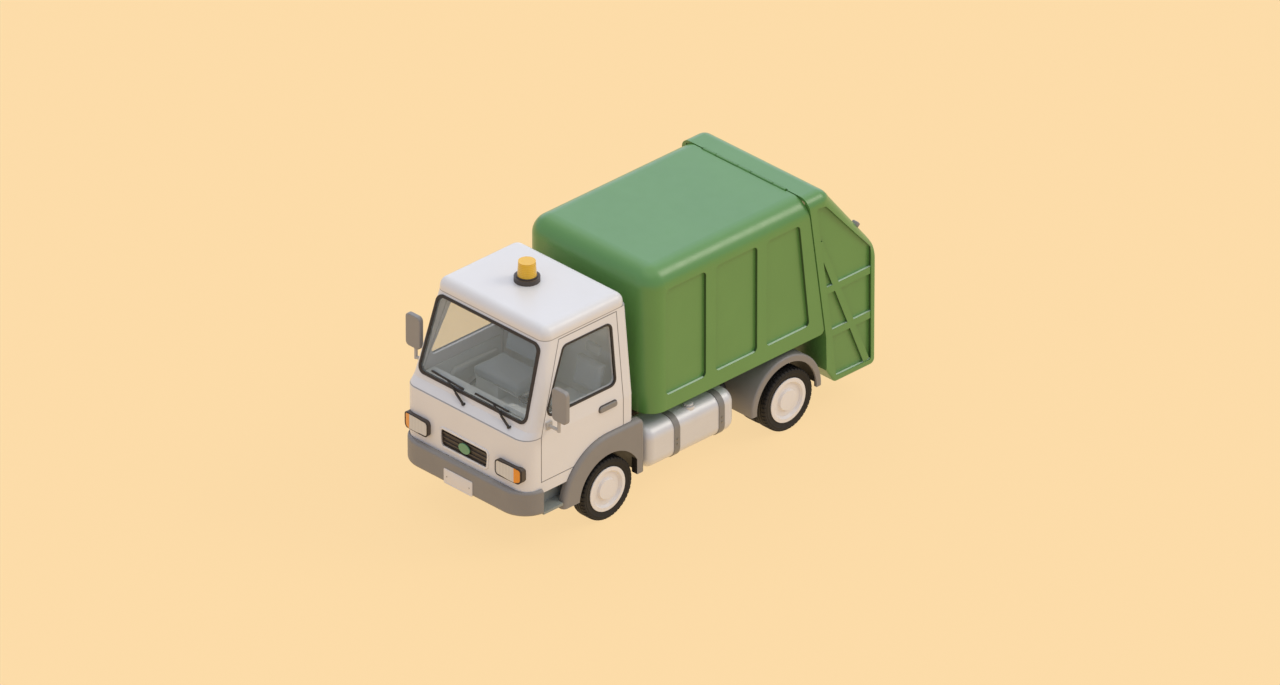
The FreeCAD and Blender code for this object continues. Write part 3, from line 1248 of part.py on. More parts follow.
def tailgate():
    half = size("gate_half_width")
    roof = size("box_top") + size("gate_raise")
    side, skin, foot = size("gate_side"), size("gate_skin"), size("gate_bottom")
    rear = rear_axle + size("rear_overhang")
    front_top = seam_y(roof, gap)
    seam_foot = size("box_bottom") - 60
    # the slope runs between two corners of the outline: (ahead of the rear face, height)
    slope = ((rear - 760, roof), (rear - 72, Size(2010)))
    outline = [(front_top, roof), *slope, (rear, Size(1870)), (rear, foot), (rear - 640, foot),
               (rear - 770, foot + 200), (seam_y(seam_foot, gap), seam_foot)]

    def roof_side(edge):
        return flat_at(2, roof)(edge) and edge.BoundBox.YLength > 50

    def hopper_foot(edge):
        return runs(0)(edge) and edge.CenterOfMass.z < float(foot) + 1

    def rear_side(edge):
        return runs(2)(edge) and near(edge, 1, rear)

    def slope_break(edge):
        return runs(0)(edge) and near(edge, 1, slope[0][0]) and near(edge, 2, roof)
    form = prism("gate_form", "x", -half, half, outline,
                 [(roof_side, size("gate_round")), (slope_break, size("gate_break_round")),
                  (hopper_foot, size("gate_foot_round")), (rear_side, Size(26))])
    inner = half - side
    inside = prism("gate_inside", "x", -inner, inner,
                   [(front_top - 60, roof - skin - 20), (rear - 775, roof - skin - 20),
                    (rear - 107, Size(1990)), (rear - skin, Size(1850)), (rear - skin, foot + 140),
                    (rear - 130, foot + 42), (rear - 610, foot + 42), (rear - 728, foot + 225),
                    (seam_y(seam_foot + 80, skin + gap), seam_foot + 80),
                    (seam_y(seam_foot + 80, -60), seam_foot + 120)])
    mouth = block("hopper_mouth", (-(inner - 30), inner - 30), (rear - 120, rear + 30),
                  (Size(1030), Size(1840)))
    # sunk side panel with its ribs left standing; its front edge runs beside the seam
    beside = 110
    recess = prism("gate_recess_form", "x", half - size("gate_recess"), half + 20,
                   [(seam_y(Size(2712), beside), Size(2712)), (rear - 790, Size(2690)),
                    (rear - 72, Size(1880)), (rear - 64, foot + 72), (rear - 622, foot + 78),
                    (seam_y(Size(1000), beside), Size(1000))], [(runs(0), Size(34))])
    ribs = []
    # ribs: each end (ahead of the rear face, height), width
    for number, (back_a, high_a, back_b, high_b, width) in enumerate([
            (880, 1580, 50, 1580, 90), (840, 1000, 50, 1000, 90), (880, 2240, 130, 430, 88)]):
        run, drop = back_a - back_b, high_a - high_b
        length = math.hypot(run, drop)
        across = (drop / length * width / 2, run / length * width / 2)
        points = [(rear - back_a - across[0], Size(high_a - across[1])),
                  (rear - back_b - across[0], Size(high_b - across[1])),
                  (rear - back_b + across[0], Size(high_b + across[1])),
                  (rear - back_a + across[0], Size(high_a + across[1]))]
        ribs.append(prism("gate_rib%d" % number, "x", half - size("gate_recess") - 5, half - 10, points))
    cutter = cut("gate_cutter", recess, *ribs)
    room = hinge_room("gate_hinge_room")
    lamp_x, lamp_z = (half - side + 6, half - 32), (Size(560), Size(860))
    lamp_room = block("tail_lamp_room", lamp_x, (rear - 26, rear + 5), lamp_z)
    shell = cut("gate_shell", form, inside, mouth, cutter, mirrored("gate_cutter_right", cutter), room,
                lamp_room, mirrored("lamp_room_right", lamp_room))
    knuckles = hinge_row("gate_hinge", (-280, 280), 340, 1)
    y, z = hinge_centre()
    bore = rod("hinge_bore", "x", size("hinge_pin") + size("fit"), Size(-680), Size(680), (y, z))
    node("tailgate", cut("gate_bored", fuse("gate_all", shell, *knuckles), bore))

    # tail lamps let into the rear edges of the side walls, and a small lamp on each side of the slope
    left = block("tail_lamp", lamp_x, (rear - 26, rear - 2), lamp_z)
    node("tail_lamps", pair("tail_lamp_pair", left))
    run, drop, along = slope[1][0] - slope[0][0], slope[0][1] - slope[1][1], 0.8
    stand = block("slope_lamp_foot", (Size(860), Size(950)), (Size(-30), Size(30)), (Size(0), Size(52)))
    turned(stand, Vector(1, 0, 0), -math.degrees(math.atan2(drop, run)))
    place(stand, 860, slope[0][0] + run * along, slope[0][1] - drop * along)
    node("slope_lamps", pair("slope_lamp_pair", stand))


def packer():
    """The carrier slides down inside the tailgate and the blade turns on its foot."""
    rear = rear_axle + size("rear_overhang")
    inner = size("gate_half_width") - size("gate_side")
    lean = math.radians(size("carrier_lean"))
    down, out = (math.sin(lean), -math.cos(lean)), (math.cos(lean), math.sin(lean))
    pivot_y, pivot_z = rear - size("carrier_back"), size("carrier_foot")

    def at(along, across):
        return (pivot_y + along * down[0] + across * out[0], pivot_z + along * down[1] + across * out[1])
    half = inner - 40
    plate = prism("carrier_plate", "x", -half, half,
                  [at(-58, -30), at(-840, -30), at(-840, 22), at(-58, 22)])
    stiffener = [prism("carrier_rib%d" % number, "x", Size(x - 30), Size(x + 30),
                       [at(-58, 20), at(-800, 20), at(-760, 70), at(-110, 70)])
                 for number, x in enumerate((-600, 0, 600))]
    shoe = prism("carrier_shoe", "x", half - 5, inner - 0.3,
                 [at(-140, -26), at(-820, -26), at(-820, 18), at(-140, 18)])
    lug = prism("carrier_lug", "x", half - 30, half, [at(36, -36), at(-90, -36), at(-90, 36), at(36, 36)],
                [(lambda edge: runs(0)(edge) and edge.CenterOfMass.z < float(pivot_z), Size(30))])
    pin = size("blade_pin")
    bore = rod("lug_bore", "x", pin + size("pin_clearance"), half - 35, half + 5, (pivot_y, pivot_z))
    lugs = cut("lug_cut", lug, bore)
    node("packer_carrier", fuse("carrier_all", plate, shoe, mirrored("shoe_right", shoe), lugs,
                                mirrored("lug_right", lugs), *stiffener))
    # blade: a tube on the pin with a dished plate below it
    length = size("blade_length")
    turn = math.radians(size("blade_lean"))
    low, fore = (math.sin(turn), -math.cos(turn)), (-math.cos(turn), -math.sin(turn))

    def on(along, ahead):
        return (pivot_y + along * low[0] + ahead * fore[0], pivot_z + along * low[1] + ahead * fore[1])
    tube = rod("blade_tube", "x", Size(34), -(half - 38), half - 38, (pivot_y, pivot_z))
    ends = rod("blade_pins", "x", pin, -half, half, (pivot_y, pivot_z))
    face = prism("blade_face", "x", -(half - 38), half - 38,
                 [on(0, -26), on(length * 0.55, -40), on(length, 20), on(length, 34),
                  on(length * 0.55, -10), on(0, 20)])
    node("packer_blade", fuse("blade_all", tube, ends, face))


def build():
    wheels()
    chassis()
    front_suspension()
    rear_suspension()
    springs()
    power_train()
    skin, wheel_room = cab()
    doors(skin, wheel_room)
    mirrors_and_handles()
    windscreen()
    cab_front_trim()
    beacon()
    cab_inside()
    front_fenders()
    bumper()
    tank()
    rear_guards()
    refuse_body()
    tailgate()
    packer()


def export():
    doc.recompute()
    for item in doc.Objects:
        if "Invalid" in item.State or "Error" in item.State:
            raise RuntimeError("%s did not build: %s" % (item.Label, item.State))
    for name, made in nodes.items():
        if made.Shape.isNull() or not made.Shape.isValid() or not made.Shape.Solids:
            raise RuntimeError("%s has no sound solid" % name)
    os.makedirs("parts", exist_ok=True)
    for name, made in nodes.items():
        made.Shape.exportStep("parts/%s.step" % name)
        print(name, len(made.Shape.Solids))


build()
export()
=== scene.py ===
import math

import bmesh
import bpy
import numpy as np
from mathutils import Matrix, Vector
from mathutils.bvhtree import BVHTree


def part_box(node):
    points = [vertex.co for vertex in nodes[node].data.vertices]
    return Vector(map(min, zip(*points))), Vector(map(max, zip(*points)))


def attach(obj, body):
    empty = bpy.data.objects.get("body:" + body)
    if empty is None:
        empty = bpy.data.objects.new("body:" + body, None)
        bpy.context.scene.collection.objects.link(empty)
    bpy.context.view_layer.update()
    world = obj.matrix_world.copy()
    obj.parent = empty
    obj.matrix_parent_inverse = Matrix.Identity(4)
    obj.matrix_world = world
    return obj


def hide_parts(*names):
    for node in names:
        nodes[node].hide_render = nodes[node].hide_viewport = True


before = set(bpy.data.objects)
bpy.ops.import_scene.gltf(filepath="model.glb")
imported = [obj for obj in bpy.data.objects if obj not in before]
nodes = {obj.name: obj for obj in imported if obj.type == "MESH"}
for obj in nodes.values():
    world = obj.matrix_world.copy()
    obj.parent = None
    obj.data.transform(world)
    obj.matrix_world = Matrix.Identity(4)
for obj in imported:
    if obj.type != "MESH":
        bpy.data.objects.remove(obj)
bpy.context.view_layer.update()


# --- Ladder frame, axles, springs and driveline ----------------------------------------------
# Two pressed steel channels with bolted cross members, and under them forged axles, leaf springs
# and a cast engine. All of it is sprayed black or left as rough iron, and greyed by road dust.
ROAD_DUST = "#8F857A"
RAIL_BOLT_PITCH, RAIL_BOLT_ROWS = 0.145, (0.735, 0.855)


def colour(hex_value):
    """An sRGB hex value as the linear colour that a shader takes."""
    parts = [int(hex_value[start:start + 2], 16) / 255 for start in (1, 3, 5)]
    linear = [part / 12.92 if part <= 0.04045 else ((part + 0.055) / 1.055) ** 2.4 for part in parts]
    return (*linear, 1.0)


def per_metre(millimetres):
    """The scale of a pattern that repeats once in this many real millimetres."""
    return 1000.0 / millimetres


def add(tree, kind, inputs=None, into=None, out=0, **settings):
    """Adds a node with its settings; an input is a value or another node's output.
    One output, the first unless another is named, may go straight into another node's socket."""
    made = tree.nodes.new(kind)
    for name, value in settings.items():
        setattr(made, name, value)
    for name, value in (inputs or {}).items():
        if isinstance(value, bpy.types.NodeSocket):
            tree.links.new(value, made.inputs[name])
        else:
            made.inputs[name].default_value = value
    if into:
        tree.links.new(made.outputs[out], into)
    return made


def new_material(name, **values):
    """A material with one shader: its tree, the object's own coordinates, and the shader."""
    made = bpy.data.materials.new(name)
    made.use_nodes = True
    tree = made.node_tree
    tree.nodes.clear()
    place = add(tree, "ShaderNodeTexCoord").outputs["Object"]
    shader = add(tree, "ShaderNodeBsdfPrincipled", {key.replace("_", " "): value
                                                    for key, value in values.items()})
    add(tree, "ShaderNodeOutputMaterial", {"Surface": shader.outputs["BSDF"]})
    return made, tree, place, shader


def toned(tree, place, light, dark, patch, dust=0.0, dust_top=1.0):
    """A colour that drifts between two close tones over patches, with road dust low down."""
    drift = add(tree, "ShaderNodeTexNoise", {"Vector": place, "Scale": per_metre(patch), "Detail": 3.0})
    tone = add(tree, "ShaderNodeMix", {0: drift.outputs["Fac"], 6: colour(light), 7: colour(dark)},
               data_type="RGBA").outputs[2]
    if dust:
        height = add(tree, "ShaderNodeSeparateXYZ", {0: place}).outputs["Z"]
        film = add(tree, "ShaderNodeMapRange", {"Value": height, "From Min": dust_top, "From Max": 0.1,
                                                "To Min": 0.0, "To Max": dust}).outputs[0]
        speckle = add(tree, "ShaderNodeTexNoise", {"Vector": place, "Scale": per_metre(45), "Detail": 4.0})
        grime = add(tree, "ShaderNodeMath", {0: film, 1: speckle.outputs["Fac"]},
                    operation="MULTIPLY").outputs[0]
        tone = add(tree, "ShaderNodeMix", {0: grime, 6: tone, 7: colour(ROAD_DUST)},
                   data_type="RGBA").outputs[2]
    return tone


def plain(name, light, dark, patch, dust=0.0, dust_top=1.0, **values):
    """A material with a toned base colour. Its tone comes last, for what goes over it."""
    made, tree, place, shader = new_material(name, **values)
    tone = toned(tree, place, light, dark, patch, dust, dust_top)
    tree.links.new(tone, shader.inputs["Base Color"])
    return made, tree, place, shader, tone


def relief(tree, place, shader, wide, depth, detail=2.0):
    """An uneven skin: its grain in millimetres across, and its depth in metres."""
    grain = add(tree, "ShaderNodeTexNoise", {"Vector": place, "Scale": per_metre(wide), "Detail": detail})
    add(tree, "ShaderNodeBump", {"Height": grain.outputs["Fac"], "Distance": depth},
        shader.inputs["Normal"])


def mottled(tree, place, shader, wide, detail, low, high):
    """A roughness that drifts between two values over patches."""
    gloss = add(tree, "ShaderNodeTexNoise", {"Vector": place, "Scale": per_metre(wide), "Detail": detail})
    add(tree, "ShaderNodeMapRange", {"Value": gloss.outputs["Fac"], "From Min": 0.3, "From Max": 0.7,
                                     "To Min": low, "To Max": high}, shader.inputs["Roughness"])


def sprayed(name, light, dark, rough, dust=0.0, dust_top=1.0, **values):
    """Paint sprayed on steel: even and satin, with the faint ripple that paint dries with.
    The ripple is 2 mm wide on the real thing and is drawn 14 mm wide, so that it shows."""
    made, tree, place, shader, tone = plain(name, light, dark, 620, dust, dust_top, **values)
    relief(tree, place, shader, 14, 0.00012, 1.0)
    mottled(tree, place, shader, 160, 4.0, rough - 0.03, rough + 0.05)
    return made, tree, place, shader, tone


def clad(material, *names):
    """Gives CAD nodes their finish."""
    for name in names:
        slots = nodes[name].data.materials
        slots.clear()
        slots.append(material)


def new_object(name, data):
    """An object in the scene, at the origin."""
    made = bpy.data.objects.new(name, data)
    bpy.context.scene.collection.objects.link(made)
    return made


def piece(name, verts, faces, material, body):
    """A new mesh piece in one finish, on a CAD body."""
    mesh = bpy.data.meshes.new(name)
    mesh.from_pydata([tuple(vert) for vert in verts], [], faces)
    made = new_object(name, mesh)
    shaped = bmesh.new()
    shaped.from_mesh(mesh)
    bmesh.ops.remove_doubles(shaped, verts=shaped.verts, dist=1e-6)
    bmesh.ops.recalc_face_normals(shaped, faces=shaped.faces)
    shaped.to_mesh(mesh)
    shaped.free()
    mesh.materials.append(material)
    mesh.polygons.foreach_set("use_smooth", [True] * len(mesh.polygons))
    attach(made, body)
    return made


# one tree makes every bolt and rivet: a chamfered head on a thin washer at each spot
head_tree = bpy.data.node_groups.new("bolt_heads", "GeometryNodeTree")
for label, way, kind in (("Spots", "INPUT", "NodeSocketGeometry"), ("Across", "INPUT", "NodeSocketFloat"),
                         ("Rise", "INPUT", "NodeSocketFloat"), ("Sides", "INPUT", "NodeSocketInt"),
                         ("Finish", "INPUT", "NodeSocketMaterial"), ("Heads", "OUTPUT",
                                                                     "NodeSocketGeometry")):
    head_tree.interface.new_socket(label, in_out=way, socket_type=kind)
given = add(head_tree, "NodeGroupInput").outputs
half, chamfer, flange = [add(head_tree, "ShaderNodeMath", {0: given["Across"], 1: share},
                             operation="MULTIPLY").outputs[0] for share in (0.5, 0.4, 0.66)]
thin = add(head_tree, "ShaderNodeMath", {0: given["Rise"], 1: 0.25}, operation="MULTIPLY").outputs[0]
head = add(head_tree, "GeometryNodeMeshCone", {"Vertices": given["Sides"], "Radius Top": chamfer,
                                               "Radius Bottom": half, "Depth": given["Rise"]})
washer = add(head_tree, "GeometryNodeMeshCone", {"Vertices": 16, "Radius Top": flange,
                                                 "Radius Bottom": flange, "Depth": thin})
both = add(head_tree, "GeometryNodeJoinGeometry")
head_tree.links.new(head.outputs[0], both.inputs[0])
head_tree.links.new(washer.outputs[0], both.inputs[0])
facing = add(head_tree, "GeometryNodeInputNamedAttribute", {"Name": "facing"}, data_type="FLOAT_VECTOR")
turn = add(head_tree, "FunctionNodeAlignRotationToVector", {"Vector": facing.outputs[0]}, axis="Z")
placed = add(head_tree, "GeometryNodeInstanceOnPoints", {"Points": given["Spots"],
                                                         "Instance": both.outputs[0],
                                                         "Rotation": turn.outputs[0]})
real = add(head_tree, "GeometryNodeRealizeInstances", {0: placed.outputs[0]})
done = add(head_tree, "GeometryNodeSetMaterial", {"Geometry": real.outputs[0], "Material": given["Finish"]})
add(head_tree, "NodeGroupOutput", {0: done.outputs[0]})


def fixings(name, spots, finish, body, across=0.018, rise=0.008, sides=6):
    """Bolt heads, each at a point and facing a way, as one plain mesh on a body."""
    mesh = bpy.data.meshes.new(name + "_spots")
    mesh.from_pydata([spot for spot, way in spots], [], [])
    mesh.attributes.new("facing", "FLOAT_VECTOR", "POINT").data.foreach_set(
        "vector", [number for spot, way in spots for number in way])
    holder = new_object(name + "_spots", mesh)
    modifier = holder.modifiers.new("heads", "NODES")
    modifier.node_group = head_tree
    sizes = {"Across": across, "Rise": rise, "Sides": sides, "Finish": finish}
    for socket in head_tree.interface.items_tree:
        if socket.in_out == "INPUT" and socket.name in sizes:
            modifier[socket.identifier] = sizes[socket.name]
    ready = holder.evaluated_get(bpy.context.evaluated_depsgraph_get())
    made = new_object(name, bpy.data.meshes.new_from_object(ready))
    bpy.data.objects.remove(holder)
    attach(made, body)


# black chassis paint: a satin black coat, warm where dust lies on it
chassis_paint, *_ = sprayed("black_chassis_paint", "#2C2A28", "#232120", 0.5, dust=0.35)
clad(chassis_paint, "chassis_frame", "tow_eyes", "front_axle", "rear_axle", "leaf_springs", "knuckle_left",
     "knuckle_right")

# cast iron: a dull grey skin, rough from the sand of the mould (grain drawn 5 mm wide)
cast_iron, tree, place, shader, _ = plain("sand_cast_iron", "#55524E", "#3E3B38", 180, dust=0.3, Metallic=0.6,
                                          Roughness=0.62)
relief(tree, place, shader, 5, 0.0008)
clad(cast_iron, "engine_block", "propshaft")

# zinc-plated steel: the pale grey of every bolt that is left unpainted
zinc, *_ = plain("zinc_plated_steel", "#A9A7A2", "#8E8B86", 60, Metallic=0.85, Roughness=0.42)

low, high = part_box("chassis_frame")
rail_spots = []
for side in (-1, 1):
    for step in range(int((high.y - low.y - 0.2) / RAIL_BOLT_PITCH)):
        y = low.y + 0.1 + step * RAIL_BOLT_PITCH
        for z in RAIL_BOLT_ROWS:
            rail_spots.append(((side * high.x, y, z), (side, 0, 0)))
fixings("rail_bolts", rail_spots, zinc, "chassis")


# --- Wheels ----------------------------------------------------------------------------------
# Radial truck tyres, moulded in black rubber: three straight grooves round the tread, notched
# shoulders, and a sidewall with a rim guard. Each sits on a steel rim; the rear ones are twins.
TYRE_HALF_WIDTH = 0.1025
TREAD_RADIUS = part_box("front_left_tyre")[1].z / 2
GROOVE_DEPTH = 0.011
NOTCHES = 44

# tyre rubber: nearly black, browned by dust, dull with a slight sheen on the sidewall
tyre_rubber, tree, place, shader, _ = plain("tyre_rubber", "#15110C", "#0F0C08", 240, dust=0.08,
                                            Roughness=0.72)
relief(tree, place, shader, 7, 0.0004)


def tyre_section():
    """Half-width offsets and radii round one side of the section, then the groove floors."""
    edge = TYRE_HALF_WIDTH
    tread = [(0.0045, -GROOVE_DEPTH), (0.0055, 0), (0.036, 0), (0.037, -GROOVE_DEPTH), (0.0445,
                                                                                        -GROOVE_DEPTH),
             (0.0455, 0), (0.060, -0.0003), (0.075, -0.0012)]
    side = [(0.0865, -0.0042), (0.0935, -0.0085), (0.0985, -0.0150), (edge - 0.0018, -0.0240),
            (edge - 0.0030, -0.0330), (edge - 0.0040, -0.0420), (edge - 0.0005, -0.0460),
            (edge - 0.0004, -0.0560), (edge - 0.0035, -0.0590), (edge - 0.0060, -0.0760),
            (edge - 0.0095, -0.0930), (edge - 0.0120, -0.1000), (edge - 0.0140, -0.1080),
            (edge - 0.0155, -0.1112), (edge - 0.0160, -0.1262)]
    right = [(across, TREAD_RADIUS + drop) for across, drop in tread + side]
    left = [(-across, radius) for across, radius in reversed(right)]
    return left + right


def tyre(name, body, middles, centre_y):
    """One revolved tyre for each middle, with notches cut in both shoulders."""
    section = tyre_section()
    turn = 2 * math.pi / NOTCHES
    angles = [(notch + share) * turn for notch in range(NOTCHES) for share in (0.0, 0.32, 0.66, 0.70, 0.96)]
    cut_steps = [False, False, False, True, True] * NOTCHES
    verts, faces = [], []
    for middle in middles:
        start = len(verts)
        for angle, notched in zip(angles, cut_steps):
            for across, radius in section:
                shoulder = 0.058 < abs(across) < 0.0995 and radius > TREAD_RADIUS - 0.03
                lowered = radius - GROOVE_DEPTH * 0.75 if notched and shoulder else radius
                verts.append((middle + across, centre_y + lowered * math.sin(angle),
                              TREAD_RADIUS + lowered * math.cos(angle)))
        around, points = len(angles), len(section)
        for ring in range(around):
            following = (ring + 1) % around
            for point in range(points):
                after = (point + 1) % points
                faces.append((start + ring * points + point, start + ring * points + after,
                              start + following * points + after, start + following * points + point))
    made = piece(name + "_tread", verts, faces, tyre_rubber, body)
    made.data.set_sharp_from_angle(angle=math.radians(38))
    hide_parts(name)


for name in ("front_left", "front_right", "rear_left", "rear_right"):
    low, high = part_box(name + "_tyre")
    outer = 1 if high.x > 0 else -1
    outside = (high.x if outer > 0 else low.x) - outer * TYRE_HALF_WIDTH
    middles = [outside]
    if name.startswith("rear"):
        middles.append((low.x if outer > 0 else high.x) + outer * TYRE_HALF_WIDTH)
    tyre(name + "_tyre", name + "_wheel", middles, (low.y + high.y) / 2)

# wheel enamel: pressed steel discs sprayed off-white
wheel_enamel, *_ = sprayed("wheel_enamel", "#EEE9E5", "#E5DFDA", 0.36, dust=0.12, dust_top=0.7)
clad(wheel_enamel, "front_left_rim", "front_right_rim", "rear_left_rim", "rear_right_rim")


# --- Cab shell and doors ---------------------------------------------------------------------
# A pressed steel cab in white two-pack paint. Each door hangs in a seam, and the roof, a separate
# pressing, meets the pillars in another. Grime and shade gather in those seams and darken them.
front_axle = sum(corner.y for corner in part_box("front_left_tyre")) / 2
AXLE_HEIGHT = TREAD_RADIUS
SEAM_WIDTH = 0.0085
WAIST_SEAM, ROOF_SEAM = 1.466, 2.560
DOOR_SEAM = [(front_axle - 1.027, 0.889), (front_axle + 0.248, 0.889), (front_axle + 0.248, 2.531),
             (front_axle - 0.647, 2.531), (front_axle - 1.027, 1.460)]
DOOR_FLAT = 0.993  # the upright skin under the windows, across
DOOR_SKIN_FOOT, DOOR_SKIN_HEAD = (0.983, 1.545), (0.878, 2.560)  # across, height


def beside_line(tree, distance, width):
    """How much painted shade a seam gets, from 1 on its line to 0 a seam's width away."""
    off = add(tree, "ShaderNodeMath", {0: distance}, operation="ABSOLUTE").outputs[0]
    return add(tree, "ShaderNodeMapRange", {"Value": off, "From Min": width * 0.4, "From Max": width,
                                            "To Min": 1.0, "To Max": 0.0}).outputs[0]


def outline_distance(tree, place, outline):
    """The distance from the edges of a convex outline, seen from the side: along, height."""
    farthest = None
    for (y, z), (next_y, next_z) in zip(outline, outline[1:] + outline[:1]):
        run, rise = next_y - y, next_z - z
        length = math.hypot(run, rise)
        out_y, out_z = rise / length, -run / length
        side = add(tree, "ShaderNodeVectorMath", {0: place, 1: (0, out_y, out_z)},
                   operation="DOT_PRODUCT").outputs[1]
        side = add(tree, "ShaderNodeMath", {0: side, 1: out_y * y + out_z * z},
                   operation="SUBTRACT").outputs[0]
        if farthest is None:
            farthest = side
        else:
            farthest = add(tree, "ShaderNodeMath", {0: farthest, 1: side}, operation="MAXIMUM").outputs[0]
    return farthest


# white two-pack paint: smooth and satin, a little warm, with painted shade darkening it along each seam
cab_paint, tree, place, shader, tone = sprayed("white_two_pack_paint", "#E8E4E1", "#E1DCD8", 0.34, dust=0.10,
                                               dust_top=1.3)
split = add(tree, "ShaderNodeSeparateXYZ", {0: place}).outputs
door_line = beside_line(tree, outline_distance(tree, place, DOOR_SEAM), SEAM_WIDTH)
on_nose = add(tree, "ShaderNodeMath", {0: split["Y"], 1: front_axle - 1.02}, operation="LESS_THAN").outputs[0]
waist = add(tree, "ShaderNodeMath", {0: split["Z"], 1: WAIST_SEAM}, operation="SUBTRACT").outputs[0]
waist = add(tree, "ShaderNodeMath", {0: beside_line(tree, waist, 0.007), 1: on_nose},
            operation="MULTIPLY").outputs[0]
roof = add(tree, "ShaderNodeMath", {0: split["Z"], 1: ROOF_SEAM}, operation="SUBTRACT").outputs[0]
# the door, waist and roof seams get painted shade in the colour
seam_shade = door_line
for line in (waist, beside_line(tree, roof, 0.008)):
    seam_shade = add(tree, "ShaderNodeMath", {0: seam_shade, 1: line}, operation="MAXIMUM").outputs[0]
seam_shade = add(tree, "ShaderNodeMath", {0: seam_shade, 1: 0.62}, operation="MULTIPLY").outputs[0]
add(tree, "ShaderNodeMix", {0: seam_shade, 6: tone, 7: colour("#6F665F")}, shader.inputs["Base Color"], 2,
    data_type="RGBA")
clad(cab_paint, "cab_front", "cab_back", "cab_roof", "door_left", "door_right")


def grained(name, light, dark, rough, grain=5, depth=0.0002, dust=0.0):
    """Moulded plastic with a leather grain, finer on the real thing than it is drawn here."""
    made, tree, place, shader, tone = plain(name, light, dark, 350, dust)
    pebbles = add(tree, "ShaderNodeTexVoronoi", {"Vector": place, "Scale": per_metre(grain)},
                  feature="SMOOTH_F1")
    add(tree, "ShaderNodeBump", {"Height": pebbles.outputs["Distance"], "Distance": depth},
        shader.inputs["Normal"])
    mottled(tree, place, shader, 120, 3.0, rough - 0.04, rough + 0.06)
    return made, tree, place, shader, tone


# trim plastic: pale grey polypropylene, matte, with its leather grain drawn 6 mm wide
trim, *_ = grained("grey_trim_plastic", "#DEE0DC", "#D3D6D3", 0.7, 6, 0.0004)
clad(trim, "cab_floor", "dashboard", "steering_column")


def rectangle(low_across, low_up, high_across, high_up):
    """Its corners, listed leftwards about it."""
    return [(low_across, low_up), (high_across, low_up), (high_across, high_up), (low_across, high_up)]


def slab(name, outline, thick, axis, material, body, edge=0.006):
    """A panel with rounded edges: an outline across one axis, between two places along it."""
    shaped = bmesh.new()
    order = {0: lambda a, b, c: (c, a, b), 1: lambda a, b, c: (a, c, b), 2: lambda a, b, c: (a, b, c)}[axis]
    rings = [[shaped.verts.new(order(a, b, place)) for a, b in outline] for place in thick]
    shaped.faces.new(rings[0])
    shaped.faces.new(rings[1])
    for index in range(len(outline)):
        after = (index + 1) % len(outline)
        shaped.faces.new((rings[0][index], rings[0][after], rings[1][after], rings[1][index]))
    bmesh.ops.recalc_face_normals(shaped, faces=shaped.faces)
    bmesh.ops.bevel(shaped, geom=shaped.edges[:], offset=edge, segments=3, affect="EDGES", profile=0.5)
    verts = [vert.co.copy() for vert in shaped.verts]
    shaped.verts.index_update()
    faces = [[vert.index for vert in face.verts] for face in shaped.faces]
    shaped.free()
    made = piece(name, verts, faces, material, body)
    made.data.set_sharp_from_angle(angle=math.radians(50))
    return made


# door cards, a rear wall panel and a headlining cover the bare steel inside
for side, label in ((1, "left"), (-1, "right")):
    card = rectangle(front_axle - 0.94, 1.16, front_axle + 0.19, 1.52)
    slab("door_card_" + label, card, (side * 0.918, side * 0.934), 0, trim, label + "_door")
    rest = [(front_axle - 0.62, 1.33), (front_axle + 0.10, 1.33), (front_axle + 0.10, 1.40),
            (front_axle - 0.55, 1.40)]
    slab("door_armrest_" + label, rest, (side * 0.862, side * 0.9175), 0, trim, label + "_door",
         0.016)
wall_panel = [(-0.91, 1.16), (0.91, 1.16), (0.905, 1.50), (0.815, 2.50), (-0.815, 2.50), (-0.905, 1.50)]
slab("rear_wall_panel", wall_panel, (front_axle + 0.352, front_axle + 0.3685), 1, trim, "chassis")
lining = rectangle(-0.80, front_axle - 0.79, 0.80, front_axle + 0.35)
slab("headlining", lining, (2.538, 2.552), 2, trim, "chassis")

# instrument hood on the dashboard, behind the steering wheel
hood = [(0.36, 1.561), (0.76, 1.561), (0.76, 1.592), (0.72, 1.622), (0.64, 1.636), (0.48, 1.636), (0.40,
                                                                                                   1.622),
        (0.36, 1.592)]
slab("instrument_hood", hood, (front_axle - 1.00, front_axle - 0.905), 1, trim, "chassis", 0.008)

# exterior plastic: dyed grey polypropylene, a little chalky; the grain is drawn 5 mm wide
grey_plastic, *_ = grained("grey_moulded_plastic", "#8F8A85", "#85807B", 0.5, dust=0.14)
clad(grey_plastic, "battery_box", "slope_lamps", "door_handle_left", "door_handle_right")

# a dark moulded cup round each door handle; its dark colour is painted shade for the handle's recess
handle_shadow_cup, *_ = grained("handle_shadow_cup_plastic", "#4F453E", "#453C36", 0.55)


def rounded_outline(corners, radius, steps=6):
    """Points round an outline, listed leftwards about it, each with the way out of it."""
    points = []
    for index, corner in enumerate(corners):
        corner = Vector(corner)
        before, after = Vector(corners[index - 1]), Vector(corners[(index + 1) % len(corners)])
        into, away = (corner - before).normalized(), (after - corner).normalized()
        bend = into.angle(away)
        centre = corner - into * radius * math.tan(bend / 2) + Vector((-into.y, into.x)) * radius
        for step in range(steps + 1):
            turned = bend * step / steps
            way = Vector((into.y * math.cos(turned) + into.x * math.sin(turned),
                          into.y * math.sin(turned) - into.x * math.cos(turned)))
            points.append((centre + way * radius, way))
    return points


def edging(name, path, section, material, body):
    """A closed strip along a closed path: each spot has its place, its way out and its way up."""
    verts = [spot + out * across + up * rise for spot, out, up in path for across, rise in section]
    size, count = len(section), len(path)
    faces = [(ring * size + point, ring * size + (point + 1) % size,
              (ring + 1) % count * size + (point + 1) % size, (ring + 1) % count * size + point)
             for ring in range(count) for point in range(size)]
    made = piece(name, verts, faces, material, body)
    made.data.set_sharp_from_angle(angle=math.radians(48))
    return made


